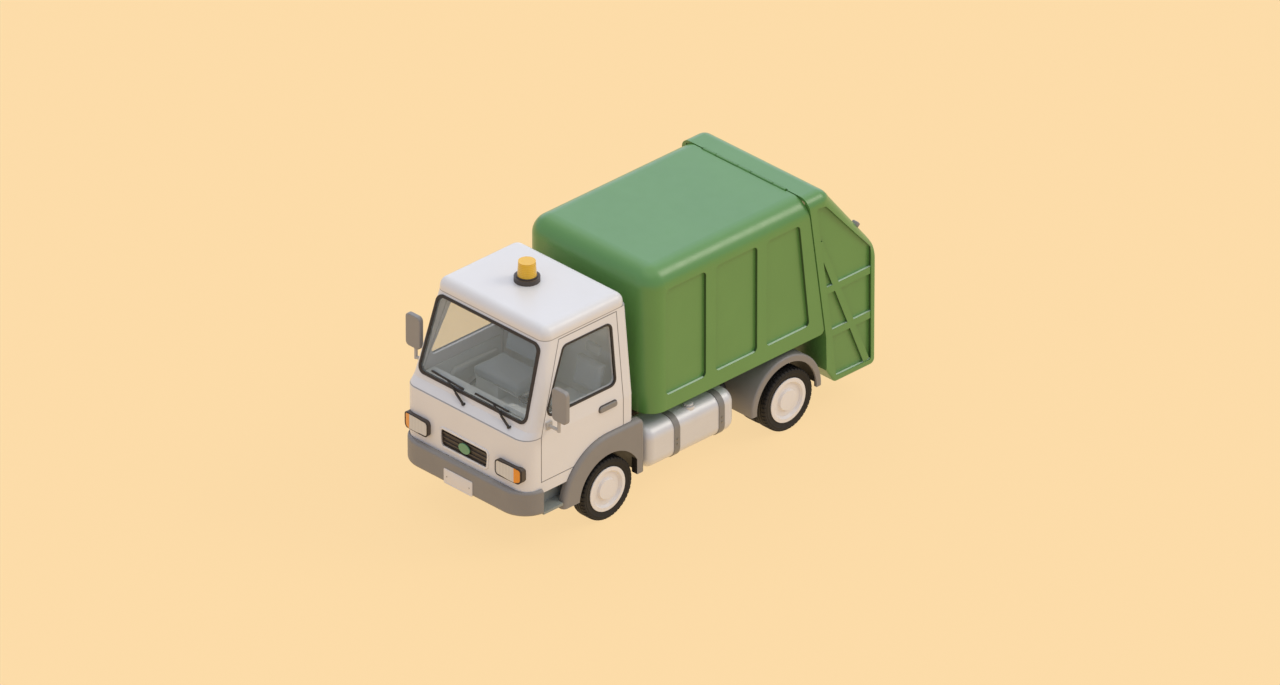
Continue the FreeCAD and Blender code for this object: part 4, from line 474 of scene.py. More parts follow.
HANDLE_RING = [(-0.001, -0.004), (-0.001, 0.001), (0.002, 0.0035), (0.009, 0.0035), (0.012, 0.0005),
               (0.012, -0.004)]
for side, label in ((1, "left"), (-1, "right")):
    low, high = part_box("door_handle_" + label)
    path = [(Vector((side * DOOR_FLAT, spot.x, spot.y)), Vector((0, way.x, way.y)), Vector((side, 0, 0)))
            for spot, way in rounded_outline(rectangle(low.y, low.z, high.y, high.z),
                                             (high.z - low.z) / 2 - 0.001)]
    edging("door_handle_ring_" + label, path, HANDLE_RING, handle_shadow_cup, label + "_door")


# --- Glass, seals and wipers -----------------------------------------------------------------
# Tempered panes held in rubber: a deep gasket round the windscreen, and a lipped seal pushed over
# the edge of each door's window opening. The wiper arms are pressed steel in matt black.

# window glass: clear tempered glass with a faint cool cast
window_glass, *_ = plain("tempered_window_glass", "#BCC6C4", "#B4BEBC", 900, Roughness=0.07, IOR=1.5,
                         Alpha=0.16)
clad(window_glass, "windscreen", "door_glass_left", "door_glass_right")

# seal rubber: extruded rubber, black-brown and dull
seal_rubber, tree, place, shader, _ = plain("extruded_seal_rubber", "#3A322D", "#2F2925", 80, Roughness=0.6)
relief(tree, place, shader, 9, 0.0003)
clad(seal_rubber, "windscreen_gasket")

# wiper paint: a thin matt black, smooth as sprayed steel is
wiper_paint, *_ = sprayed("matt_black_wiper_paint", "#34302F", "#2A2726", 0.5)
clad(wiper_paint, "wipers")

# steering wheel: black polyurethane foam with a tight skin, soft in its shine
wheel_foam, *_ = grained("black_wheel_rim_foam", "#2F2D2D", "#272525", 0.55)
clad(wheel_foam, "steering_wheel")

WINDOW = [(front_axle - 0.930, 1.68), (front_axle + 0.145, 1.68), (front_axle + 0.145, 2.42),
          (front_axle - 0.580, 2.42)]
WINDOW_ROUND = 0.070
SEAL_SECTION = [(-0.005, -0.019), (-0.006, 0.003), (-0.001, 0.0065), (0.016, 0.0065), (0.021, 0.004),
                (0.022, 0.0004), (-0.0005, 0.0004), (-0.0006, -0.019)]  # outwards, proud of the skin
lean = (DOOR_SKIN_FOOT[0] - DOOR_SKIN_HEAD[0]) / (DOOR_SKIN_HEAD[1] - DOOR_SKIN_FOOT[1])
for side, label in ((1, "left"), (-1, "right")):
    up = Vector((side, 0, lean)).normalized()
    path = [(Vector((side * (DOOR_SKIN_FOOT[0] - (spot.y - DOOR_SKIN_FOOT[1]) * lean), spot.x, spot.y)),
             Vector((-side * lean * way.y, way.x, way.y)), up)
            for spot, way in rounded_outline(WINDOW, WINDOW_ROUND)]
    edging("window_seal_" + label, path, SEAL_SECTION, seal_rubber, label + "_door")


# --- Seats -----------------------------------------------------------------------------------
# A driver's seat and a bench for two mates: foam cushions in tight grey-blue cloth on steel
# pedestals, with a separate headrest for each person. Each pad swells a little in its cover.
SEAT_PLACES = [("driver", 0.34, 0.82), ("mate", -0.74, 0.04)]
HEADREST_MIDDLES = [0.58, -0.15, -0.55]
PAD_GRID, PAD_CAP, PAD_EDGE = 0.013, 0.020, 0.026
SWELL_PRESSURE, SWELL_FRAMES = 4.0, 20

# woven cloth: a flat weave in grey-blue; its threads, 1 mm apart, are drawn 9 mm apart to show
seat_cloth, tree, place, shader, cloth_tone = plain("woven_seat_cloth", "#B3BBBE", "#A6AEB2", 140,
                                                    Roughness=0.88, Sheen_Weight=0.25)
warp, weft = [add(tree, "ShaderNodeTexWave", {"Vector": place, "Scale": per_metre(9) / 3.14,
                                              "Distortion": 0.4},
                  bands_direction=way) for way in ("X", "DIAGONAL")]
weave = add(tree, "ShaderNodeMath", {0: warp.outputs["Fac"], 1: weft.outputs["Fac"]}, operation="MULTIPLY")
thread_shade = add(tree, "ShaderNodeMapRange", {"Value": weave.outputs[0], "To Min": 0.25, "To Max": 0.0})
add(tree, "ShaderNodeMix", {0: thread_shade.outputs[0], 6: cloth_tone, 7: colour("#7B8388")},
    shader.inputs["Base Color"], 2, data_type="RGBA")
add(tree, "ShaderNodeBump", {"Height": weave.outputs[0], "Distance": 0.0008}, shader.inputs["Normal"])


def rounded_block(low, high, edge, shift=0.0):
    """A block with rounded edges between two corners, its top moved back by a shift."""
    corners = [Vector((x, y + (shift if z == high[2] else 0), z)) for z in (low[2], high[2])
               for x, y in ((low[0], low[1]), (high[0], low[1]), (high[0], high[1]), (low[0], high[1]))]
    shaped = bmesh.new()
    verts = [shaped.verts.new(corner) for corner in corners]
    for face in ((0, 3, 2, 1), (4, 5, 6, 7), (0, 1, 5, 4), (1, 2, 6, 5), (2, 3, 7, 6), (3, 0, 4, 7)):
        shaped.faces.new([verts[index] for index in face])
    bmesh.ops.bevel(shaped, geom=shaped.edges[:], offset=edge, segments=4, affect="EDGES", profile=0.5)
    shaped.verts.index_update()
    return shaped


def evaluated_copy(made):
    """The mesh that an object's modifiers give, on its own."""
    return bpy.data.meshes.new_from_object(made.evaluated_get(bpy.context.evaluated_depsgraph_get()))


def pad(name, low, high, shift=0.0):
    """A foam pad in its cover: remeshed, blown up a little as cloth, and held to a cap."""
    shaped = rounded_block(low, high, PAD_EDGE, shift)
    mesh = bpy.data.meshes.new(name)
    shaped.to_mesh(mesh)
    shaped.free()
    made = new_object(name, mesh)
    grid = made.modifiers.new("grid", "REMESH")
    grid.mode = "VOXEL"
    grid.voxel_size = PAD_GRID
    flat = evaluated_copy(made)
    made.modifiers.clear()
    made.data = flat
    at_rest = np.empty(len(flat.vertices) * 3)
    flat.vertices.foreach_get("co", at_rest)
    cover = made.modifiers.new("cover", "CLOTH")
    cover.settings.use_pressure = True
    cover.settings.uniform_pressure_force = SWELL_PRESSURE
    cover.settings.effector_weights.gravity = 0.0
    cover.point_cache.frame_end = SWELL_FRAMES
    for step in range(1, SWELL_FRAMES + 1):
        bpy.context.scene.frame_set(step)
        bpy.context.evaluated_depsgraph_get()
    blown = evaluated_copy(made)
    made.modifiers.clear()
    bpy.context.scene.frame_set(1)
    moved = np.empty(len(blown.vertices) * 3)
    blown.vertices.foreach_get("co", moved)
    away = (moved - at_rest).reshape(-1, 3)
    far = np.linalg.norm(away, axis=1, keepdims=True)
    away *= np.minimum(1.0, PAD_CAP / np.maximum(far, 1e-9))
    flat.vertices.foreach_set("co", (at_rest.reshape(-1, 3) + away).ravel())
    flat.update()
    flat.materials.clear()
    flat.materials.append(seat_cloth)
    flat.polygons.foreach_set("use_smooth", [True] * len(flat.polygons))
    smooth = made.modifiers.new("smooth", "SUBSURF")
    smooth.levels = smooth.render_levels = 1
    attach(made, "chassis")
    return made


seat_pieces = []
for name, low, high in SEAT_PLACES:
    front, rear = front_axle - 0.455, front_axle + 0.045
    seat_pieces.append(pad(name + "_cushion", (low + 0.015, front, 1.345), (high - 0.015, rear, 1.455)))
    seat_pieces.append(pad(name + "_backrest", (low + 0.02, front_axle + 0.035, 1.475),
                           (high - 0.02, front_axle + 0.115, 1.850), shift=0.085))
    base = [(front_axle - 0.42, 1.0405), (front_axle + 0.02, 1.0405), (front_axle + 0.02, 1.315),
            (front_axle - 0.40, 1.315)]
    inner, outer = (low + 0.03, high - 0.03) if name == "driver" else (low + 0.03, -0.352)
    seat_pieces.append(slab(name + "_pedestal", base, (inner, outer), 0, trim, "chassis", 0.012))
    frame_top = rectangle(low + 0.03, front_axle - 0.42, high - 0.03, front_axle + 0.02)
    seat_pieces.append(slab(name + "_seat_pan", frame_top, (1.316, 1.330), 2, trim, "chassis",
                            0.004))
for number, middle in enumerate(HEADREST_MIDDLES):
    seat_pieces.append(pad("headrest_%d" % number, (middle - 0.115, front_axle + 0.150, 1.905),
                           (middle + 0.115, front_axle + 0.205, 2.030), shift=0.015))
for made in seat_pieces:
    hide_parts("seats")


# --- Door mirrors ----------------------------------------------------------------------------
# A moulded grey head with a flat glass, on a white-coated steel bracket bolted to the door.
BRACKET_TOP = 1.688
mirror_shell, tree, place, shader, tone = grained("mirror_shell_plastic", "#9A9590", "#908B86", 0.48)
height = add(tree, "ShaderNodeSeparateXYZ", {0: place}).outputs["Z"]
bracket = add(tree, "ShaderNodeMath", {0: height, 1: BRACKET_TOP}, operation="LESS_THAN").outputs[0]
add(tree, "ShaderNodeMix", {0: bracket, 6: tone, 7: colour("#BBB5AE")}, shader.inputs["Base Color"], 2,
    data_type="RGBA")
clad(mirror_shell, "mirror_left", "mirror_right")

# silvered glass: a bright mirror with a thin film of dust
silvered, *_ = plain("silvered_mirror_glass", "#B9C0C4", "#AEB5B9", 300, Metallic=1.0, Roughness=0.08)
for side, label in ((1, "left"), (-1, "right")):
    rear_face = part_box("mirror_" + label)[1].y
    corners = rectangle(side * 1.084, 1.718, side * 1.268, 2.086)
    outline = [tuple(spot) for spot, way in rounded_outline(corners if side > 0 else corners[::-1], 0.036)]
    slab("mirror_glass_" + label, outline, (rear_face + 0.0004, rear_face + 0.0044), 1, silvered,
         label + "_door", 0.0012)


# --- Nose: grille, lamps, bumper and plate ---------------------------------------------------
# A dark moulded grille with a blank enamelled badge, and two lamps in dark housings that wrap the
# corners. Below them a thick moulded bumper carries a blank white plate on two screws.
dark_plastic, *_ = grained("dark_grille_plastic", "#54493F", "#463D35", 0.46)
clad(dark_plastic, "grille", "headlamp_surrounds", "beacon_base")

# lamp lens: clear polycarbonate over a bright reflector, with upright flutes 24 mm apart
lamp_lens, tree, place, shader, tone = plain("clear_lamp_lens", "#C9C5C0", "#BEBAB5", 200, Roughness=0.16,
                                             Coat_Weight=0.6, IOR=1.49)
flutes = add(tree, "ShaderNodeTexWave", {"Vector": place, "Scale": per_metre(24) / 3.14},
             bands_direction="X", wave_profile="SIN")
add(tree, "ShaderNodeMix", {0: flutes.outputs["Fac"], 6: tone, 7: colour("#D8D5D0")},
    shader.inputs["Base Color"], 2, data_type="RGBA")
add(tree, "ShaderNodeBump", {"Height": flutes.outputs["Fac"], "Distance": 0.0012}, shader.inputs["Normal"])
clad(lamp_lens, "headlamps")


def coloured_lens(name, light, dark, rough):
    """Dyed acrylic: a deep even colour under a gloss, with moulded prisms drawn 16 mm apart."""
    made, tree, place, shader, tone = plain(name, light, dark, 90, Roughness=rough, Coat_Weight=0.5, IOR=1.49)
    prisms = add(tree, "ShaderNodeTexWave", {"Vector": place, "Scale": per_metre(16) / 3.14},
                 bands_direction="Z")
    add(tree, "ShaderNodeBump", {"Height": prisms.outputs["Fac"], "Distance": 0.0007},
        shader.inputs["Normal"])
    return made, tree, place, shader, tone


amber_lens, *_ = coloured_lens("amber_lamp_acrylic", "#F0982A", "#E58C20", 0.2)
clad(amber_lens, "indicators")


def skin_of(name):
    """A tree of a CAD node's faces, to find where its surface is."""
    mesh = nodes[name].data
    return BVHTree.FromPolygons([vert.co for vert in mesh.vertices],
                                [face.vertices for face in mesh.polygons])


def foremost(skins, spot):
    """Where the nearest of some surfaces is, looking back from ahead of a spot on the nose."""
    hits = [skin.ray_cast(Vector((spot.x, -4, spot.y)), Vector((0, 1, 0)))[0] for skin in skins]
    return min(hit.y for hit in hits if hit)


def round_front(corners, radius, depth):
    """A path round an outline that faces forward; depth gives its place at a spot and way."""
    return [(Vector((spot.x, depth(spot, way), spot.y)), Vector((way.x, 0, way.y)), Vector((0, -1, 0)))
            for spot, way in rounded_outline(corners, radius)]


# a dark rubber lip runs round each headlamp, over the joint of lens and housing
LAMP_LIP = [(-0.005, -0.003), (-0.006, 0.002), (0.000, 0.0045), (0.007, 0.0045), (0.011, 0.001),
            (0.011, -0.004)]
lamp_skins = [skin_of(name) for name in ("headlamps", "indicators", "headlamp_surrounds")]
for side, label in ((1, "left"), (-1, "right")):
    low_x, high_x = sorted((side * 0.551, side * 0.926))
    path = round_front(rectangle(low_x, 0.944, high_x, 1.125), 0.043,
                       lambda spot, way: foremost(lamp_skins, spot - way * 0.003))
    edging("headlamp_lip_" + label, path, LAMP_LIP, seal_rubber, "chassis")

# a raised rim pressed into the nose panel frames the grille
GRILLE_RIM = [(-0.004, -0.012), (-0.006, 0.002), (-0.001, 0.006), (0.007, 0.0065), (0.015, 0.003),
              (0.020, -0.002), (0.020, -0.012)]
low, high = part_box("grille")
nose_skin = skin_of("cab_front")
path = round_front(rectangle(low.x, low.z, high.x, high.z), 0.040,
                   lambda spot, way: foremost([nose_skin], spot + way * 0.022))
edging("grille_rim", path, GRILLE_RIM, cab_paint, "chassis")

# badge enamel: fired green glass on copper, glossy
badge_enamel, *_ = plain("green_badge_enamel", "#6BA078", "#5E936B", 60, Roughness=0.25, Coat_Weight=0.4)
clad(badge_enamel, "grille_badge")

# bumper plastic: as the exterior plastic, with a painted highlight along the top, where it faces the light
bumper_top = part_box("front_bumper")[1].z
bumper_plastic, tree, place, shader, tone = grained("grey_bumper_plastic", "#8F8A85", "#85807B", 0.5,
                                                    dust=0.10)
height = add(tree, "ShaderNodeSeparateXYZ", {0: place}).outputs["Z"]
# the top 30 mm of the bumper are lightened as a painted highlight
painted_lit_ledge = add(tree, "ShaderNodeMapRange", {"Value": height, "From Min": bumper_top - 0.030,
                                         "From Max": bumper_top, "To Min": 0.0, "To Max": 0.30}).outputs[0]
add(tree, "ShaderNodeMix", {0: painted_lit_ledge, 6: tone, 7: colour("#A39E98")}, shader.inputs["Base Color"], 2,
    data_type="RGBA")
clad(bumper_plastic, "front_bumper")

# plate enamel: stove enamel on aluminium, blank, with a pressed border
PLATE_SUNK, PLATE_ROUND, PLATE_BORDER = 0.003, 0.016, 0.014
plate_enamel, *_ = sprayed("white_plate_enamel", "#E6E0DC", "#DED8D3", 0.4)
low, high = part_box("number_plate")
outline = [tuple(spot) for spot, way in rounded_outline(rectangle(low.x, low.z, high.x, high.z), PLATE_ROUND)]
blank = slab("number_plate_blank", outline, (low.y + PLATE_SUNK, high.y), 1, plate_enamel, "chassis",
             0.001)
PLATE_BEAD = [(-0.0045, -0.001), (-0.0030, 0.0015), (-0.0010, 0.0028), (0.0010, 0.0028), (0.0030, 0.0015),
              (0.0045, -0.001)]
corners = rectangle(low.x + PLATE_BORDER, low.z + PLATE_BORDER, high.x - PLATE_BORDER, high.z - PLATE_BORDER)
path = round_front(corners, 0.012, lambda spot, way: low.y + PLATE_SUNK)
bead = edging("number_plate_bead", path, PLATE_BEAD, plate_enamel, "chassis")
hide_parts("number_plate")
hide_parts("number_plate")
plate_height = (low.z + high.z) / 2
fixings("plate_screws", [((x, low.y + PLATE_SUNK, plate_height), (0, -1, 0))
                         for x in (low.x + 0.05, high.x - 0.05)], zinc, "chassis",
        across=0.014, rise=0.0028, sides=12)


# --- Beacon ----------------------------------------------------------------------------------
# A flashing beacon: an amber dome over a lamp, held on a dark moulded foot by a clamp ring.
beacon_lens, tree, place, shader, tone = plain("amber_beacon_acrylic", "#F2B81E", "#E8AA14", 120,
                                               Roughness=0.24, IOR=1.49, Coat_Weight=0.3)
ribs = add(tree, "ShaderNodeTexWave", {"Vector": place, "Scale": per_metre(22) / 3.14}, bands_direction="Z")
add(tree, "ShaderNodeMix", {0: ribs.outputs["Fac"], 6: tone, 7: colour("#F6C22C")},
    shader.inputs["Base Color"], 2, data_type="RGBA")
add(tree, "ShaderNodeBump", {"Height": ribs.outputs["Fac"], "Distance": 0.0007}, shader.inputs["Normal"])
clad(beacon_lens, "beacon_dome")
low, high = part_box("beacon_dome")
middle = (low + high) / 2
reach = (high.x - low.x) / 2
CLAMP_SECTION = [(0.0005, 0.0004), (0.010, 0.0004), (0.012, 0.006), (0.009, 0.013), (-0.0005, 0.014)]
ring = [(Vector((middle.x + reach * math.cos(turn), middle.y + reach * math.sin(turn), low.z)),
         Vector((math.cos(turn), math.sin(turn), 0)), Vector((0, 0, 1)))
        for turn in (2 * math.pi * step / 64 for step in range(64))]
edging("beacon_clamp_ring", ring, CLAMP_SECTION, dark_plastic, "chassis")


# --- Fenders, mudguards and steps ------------------------------------------------------------
# Grey moulded fenders and mudguards, screwed on from the side. Inside the arches they are coated
# with black underseal, and that black is also painted shade there. The steps are the same plastic, scuffed by
# boots.
UNDERSEAL_AND_SHADE = "#1E1A17"


def arched(name, middle, reach, face, dust):
    """Grey plastic that turns black inside a wheel arch, short of the outer face: underseal, and painted
    shade.
    """
    made, tree, place, shader, tone = grained(name, "#8F8A85", "#85807B", 0.5, dust=dust)
    spot = add(tree, "ShaderNodeSeparateXYZ", {0: place}).outputs
    level = add(tree, "ShaderNodeCombineXYZ", {1: spot["Y"], 2: spot["Z"]}).outputs[0]
    radius = add(tree, "ShaderNodeVectorMath", {0: level, 1: (0, *middle)}, operation="DISTANCE").outputs[1]
    across = add(tree, "ShaderNodeMath", {0: spot["X"]}, operation="ABSOLUTE").outputs[0]
    within = add(tree, "ShaderNodeMath", {0: radius, 1: reach}, operation="LESS_THAN").outputs[0]
    behind = add(tree, "ShaderNodeMath", {0: across, 1: face}, operation="LESS_THAN").outputs[0]
    underseal_and_shade = add(tree, "ShaderNodeMath", {0: within, 1: behind}, operation="MULTIPLY").outputs[0]
    add(tree, "ShaderNodeMix", {0: underseal_and_shade, 6: tone, 7: colour(UNDERSEAL_AND_SHADE)}, shader.inputs["Base Color"], 2,
        data_type="RGBA")
    return made


# a rubber splash flap hangs inboard behind each front wheel, beside the frame
for side, label in ((1, "left"), (-1, "right")):
    flap = rectangle(side * 0.515, 0.330, side * 0.655, 0.790)
    slab("splash_flap_" + label, flap, (front_axle + 0.458, front_axle + 0.465), 1, seal_rubber, "chassis",
         0.002)
fender_plastic = arched("grey_fender_plastic", (front_axle, AXLE_HEIGHT), 0.545,
                        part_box("front_fenders")[1].x - 0.004, dust=0.14)
clad(fender_plastic, "front_fenders")
low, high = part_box("rear_mudguards")
guard_reach = (high.y - low.y) / 2
guard_plastic = arched("grey_mudguard_plastic", ((low.y + high.y) / 2, high.z - guard_reach),
                       guard_reach - 0.0075, high.x - 0.026, dust=0.16)
clad(guard_plastic, "rear_mudguards")
step_plastic, *_ = grained("scuffed_step_plastic", "#969B94", "#8A8F89", 0.6, 7, 0.0005, 0.2)
clad(step_plastic, "cab_steps")


# --- Fuel tank and battery box ---------------------------------------------------------------
# A welded aluminium tank, brushed smooth, with a lobed filler cap. Two painted steel straps pull
# it against the frame, each drawn up by two bolts. The battery box opposite is moulded plastic.

# brushed aluminium: silver white and satin, drawn out along the tank by the brushing
tank_metal, tree, place, shader, tone = plain("brushed_aluminium", "#E2E0E0", "#D8D6D6", 300, dust=0.06,
                                              Metallic=0.2, Roughness=0.42)
stretched = add(tree, "ShaderNodeMapping", {"Vector": place, "Scale": (1.0, 0.04, 1.0)}).outputs[0]
brushing = add(tree, "ShaderNodeTexNoise", {"Vector": stretched, "Scale": per_metre(7), "Detail": 2.0})
shade = add(tree, "ShaderNodeMapRange", {"Value": brushing.outputs["Fac"], "To Min": 0.0,
                                         "To Max": 0.16}).outputs[0]
add(tree, "ShaderNodeMix", {0: shade, 6: tone, 7: colour("#B4B2B2")}, shader.inputs["Base Color"], 2,
    data_type="RGBA")
add(tree, "ShaderNodeBump", {"Height": brushing.outputs["Fac"], "Distance": 0.0002}, shader.inputs["Normal"])
clad(tank_metal, "fuel_tank")

strap_paint, *_ = sprayed("grey_strap_paint", "#8B8782", "#7F7B76", 0.45, dust=0.18)
clad(strap_paint, "tank_straps")


def stacked(name, rings, material, body, sharp):
    """A closed form through a pile of rings, with a flat face at each end."""
    around = len(rings[0])
    faces = [(level * around + step, (level + 1) * around + step, (level + 1) * around + (step + 1) % around,
              level * around + (step + 1) % around) for level in range(len(rings) - 1)
             for step in range(around)]
    faces += [list(range(around)), list(range((len(rings) - 1) * around, len(rings) * around))]
    made = piece(name, [vert for ring in rings for vert in ring], faces, material, body)
    made.data.set_sharp_from_angle(angle=sharp)


# filler cap: a domed aluminium cap, lobed round its side so that a gloved hand can turn it
low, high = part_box("fuel_tank")
CAP_LOBES, CAP_RADIUS = 12, 0.054
cap_middle = Vector((high.x - 0.124, front_axle + 1.350, high.z))
cap_section = [(1.0, -0.016), (1.04, -0.012), (1.04, 0.001), (0.94, 0.006), (0.60, 0.0088), (0.25, 0.0096)]
turns = [2 * math.pi * step / (CAP_LOBES * 6) for step in range(CAP_LOBES * 6)]
rings = []
for share, rise in cap_section:
    lobes = [CAP_RADIUS * share * (1 + (0.030 * math.cos(CAP_LOBES * turn) if share > 0.9 else 0))
             for turn in turns]
    rings.append([cap_middle + Vector((lobe * math.cos(turn), lobe * math.sin(turn), rise))
                  for lobe, turn in zip(lobes, turns)])
stacked("filler_cap", rings, tank_metal, "chassis", 0.8)

strap_low, strap_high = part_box("tank_straps")
strap_middles = (strap_low.y + 0.0425, strap_high.y - 0.0425)
strap_spots = [((strap_high.x, y, strap_low.z + 0.21 + shift), (1, 0, 0)) for y in strap_middles
               for shift in (0, 0.06)]
fixings("strap_bolts", strap_spots, zinc, "chassis", across=0.022, rise=0.010)

# an air reservoir, a short black pressure vessel with domed ends, hangs behind the tank
AIR_MIDDLE, AIR_RADIUS = (0.570, 0.655), 0.100
air_profile = [(0.587, 0.045), (0.596, 0.080), (0.612, 0.098), (0.628, AIR_RADIUS),
               (0.632, 0.103), (0.636, AIR_RADIUS), (0.739, AIR_RADIUS), (0.743, 0.103), (0.747, AIR_RADIUS),
               (0.763, 0.098), (0.779, 0.080), (0.788, 0.045)]
turns = [2 * math.pi * step / 48 for step in range(48)]
rings = [[Vector((AIR_MIDDLE[0] + radius * math.cos(turn), along, AIR_MIDDLE[1] + radius * math.sin(turn)))
          for turn in turns] for along, radius in air_profile]
stacked("air_reservoir", rings, chassis_paint, "chassis", 0.7)

low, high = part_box("battery_box")
box_spots = [((low.x, low.y + along, low.z + up), (-1, 0, 0))
             for along in (0.06, 0.54) for up in (0.07, 0.41)]
fixings("battery_box_bolts", box_spots, zinc, "chassis", across=0.020, rise=0.008)


# --- Refuse body and tailgate ----------------------------------------------------------------
# A welded steel body and a tailgate hinged at the roof, both in green two-pack paint. Refuse has
# polished the paint off the packer's plates and the ejector plate, down to bare bright steel.
# RECESS_SHADE is painted shade for the panel walls, LEDGE_LIGHT a painted highlight for their ledges
RECESS_SHADE, LEDGE_LIGHT, BARE_STEEL = "#3B552E", "#CFE0C6", "#8A8680"
body_low, body_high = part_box("refuse_body")
gate_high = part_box("tailgate")[1]
PANEL_FOOT, PANEL_HEAD = 1.240, 2.600
GATE_PANEL = [(gate_high.y - 0.622, 0.428), (gate_high.y - 0.064, 0.422), (gate_high.y - 0.072, 1.880),
              (gate_high.y - 0.790, 2.690), (front_axle + 3.246, 2.712)]
BODY_PANELS = rectangle(front_axle + 0.888, PANEL_FOOT, gate_high.y, PANEL_HEAD)


def between(tree, value, low, high):
    """1 where a value lies between two others, else 0."""
    middle = add(tree, "ShaderNodeMath", {0: value, 1: (low + high) / 2}, operation="SUBTRACT").outputs[0]
    off = add(tree, "ShaderNodeMath", {0: middle}, operation="ABSOLUTE").outputs[0]
    return add(tree, "ShaderNodeMath", {0: off, 1: (high - low) / 2}, operation="LESS_THAN").outputs[0]


def green_paint(name, outline, walls, ledges, **values):
    """Green paint with painted shade in the walls of its pressed panels and a painted highlight on their
    ledges.
    """
    made, tree, place, shader, tone = sprayed(name, "#60944A", "#588B44", 0.34, **values)
    split = add(tree, "ShaderNodeSeparateXYZ", {0: place}).outputs
    across = add(tree, "ShaderNodeMath", {0: split["X"]}, operation="ABSOLUTE").outputs[0]
    shaded_wall = between(tree, across, *walls)
    inside = add(tree, "ShaderNodeMath", {0: outline_distance(tree, place, outline), 1: 0.006},
                 operation="LESS_THAN").outputs[0]
    shaded_wall = add(tree, "ShaderNodeMath", {0: shaded_wall, 1: inside}, operation="MULTIPLY").outputs[0]
    # the panel walls take painted shade
    tone = add(tree, "ShaderNodeMix", {0: shaded_wall, 6: tone, 7: colour(RECESS_SHADE)},
               data_type="RGBA").outputs[2]
    # each ledge takes a painted highlight
    for low, high in ledges:
        painted_lit_ledge = between(tree, split["Z"], low, high)
        painted_lit_ledge = add(tree, "ShaderNodeMath", {0: shaded_wall, 1: painted_lit_ledge}, operation="MULTIPLY").outputs[0]
        tone = add(tree, "ShaderNodeMix", {0: painted_lit_ledge, 6: tone, 7: colour(LEDGE_LIGHT)},
                   data_type="RGBA").outputs[2]
    tree.links.new(tone, shader.inputs["Base Color"])
    shader.inputs["Coat Weight"].default_value = 0.45
    shader.inputs["Coat Roughness"].default_value = 0.3
    return made


body_paint = green_paint("green_body_paint", BODY_PANELS, (body_high.x - 0.0335, body_high.x - 0.0025),
                         [(PANEL_FOOT - 0.008, PANEL_FOOT + 0.008)], dust=0.10, dust_top=1.5)
clad(body_paint, "refuse_body")
gate_paint = green_paint("green_tailgate_paint", GATE_PANEL, (gate_high.x - 0.0395, gate_high.x - 0.0125),
                         [(0.415, 0.436), (1.040, 1.050), (1.620, 1.630)], dust=0.10, dust_top=1.5)
clad(gate_paint, "tailgate")

# the same paint inside, scoured by refuse down to the bare steel
packer_paint, tree, place, shader, tone = sprayed("green_paint_worn_to_steel", "#60944A", "#588B44", 0.34)
scrapes = add(tree, "ShaderNodeTexNoise", {"Vector": place, "Scale": per_metre(260), "Detail": 6.0,
                                           "Roughness": 0.7})
bare = add(tree, "ShaderNodeMapRange", {"Value": scrapes.outputs["Fac"], "From Min": 0.48,
                                        "From Max": 0.58}).outputs[0]
add(tree, "ShaderNodeMix", {0: bare, 6: tone, 7: colour(BARE_STEEL)}, shader.inputs["Base Color"], 2,
    data_type="RGBA")
tree.links.new(bare, shader.inputs["Metallic"])
clad(packer_paint, "packer_carrier", "packer_blade", "ejector_plate")

# a hollow rubber seal, bonded round the body's rear edge, shuts the seam to the tailgate
SEAM_TOP, SEAM_LEAN, SEAM_GAP = front_axle + 3.114, 0.15, 0.008
SEAL_INSET = 0.045
SEAM_HEAD = gate_high.z - 0.016
seal_low, seal_half, seal_top = body_low.z + 0.20, body_high.x - SEAL_INSET, SEAM_HEAD - SEAL_INSET
SEAL_BAND = [(-0.010, -0.003), (-0.010, SEAM_GAP * 0.7), (-0.007, SEAM_GAP), (0.007, SEAM_GAP),
             (0.010, SEAM_GAP * 0.7), (0.010, -0.003)]
out_of_seam = Vector((0, 1, SEAM_LEAN)).normalized()
path = []
for spot, way in rounded_outline(rectangle(-seal_half, seal_low, seal_half, seal_top), 0.197, 10):
    seam_y = SEAM_TOP + SEAM_LEAN * (SEAM_HEAD - spot.y)
    path.append((Vector((spot.x, seam_y, spot.y)), Vector((way.x, -SEAM_LEAN * way.y, way.y)).normalized(),
                 out_of_seam))
edging("tailgate_seal", path, SEAL_BAND, seal_rubber, "chassis")

# tail lamps: one moulding each, amber at the top, red in the middle and clear at the foot
tail_lens, tree, place, shader, red = coloured_lens("tail_lamp_acrylic", "#B0241D", "#9E1C17", 0.2)
low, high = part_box("tail_lamps")
height = add(tree, "ShaderNodeSeparateXYZ", {0: place}).outputs["Z"]
amber_part = add(tree, "ShaderNodeMath", {0: height, 1: high.z - 0.095}, operation="GREATER_THAN").outputs[0]
clear_part = add(tree, "ShaderNodeMath", {0: height, 1: low.z + 0.080}, operation="LESS_THAN").outputs[0]
with_amber = add(tree, "ShaderNodeMix", {0: amber_part, 6: red, 7: colour("#E58C20")},
                 data_type="RGBA").outputs[2]
add(tree, "ShaderNodeMix", {0: clear_part, 6: with_amber, 7: colour("#DAD6D1")}, shader.inputs["Base Color"],
    2,
    data_type="RGBA")
clad(tail_lens, "tail_lamps")

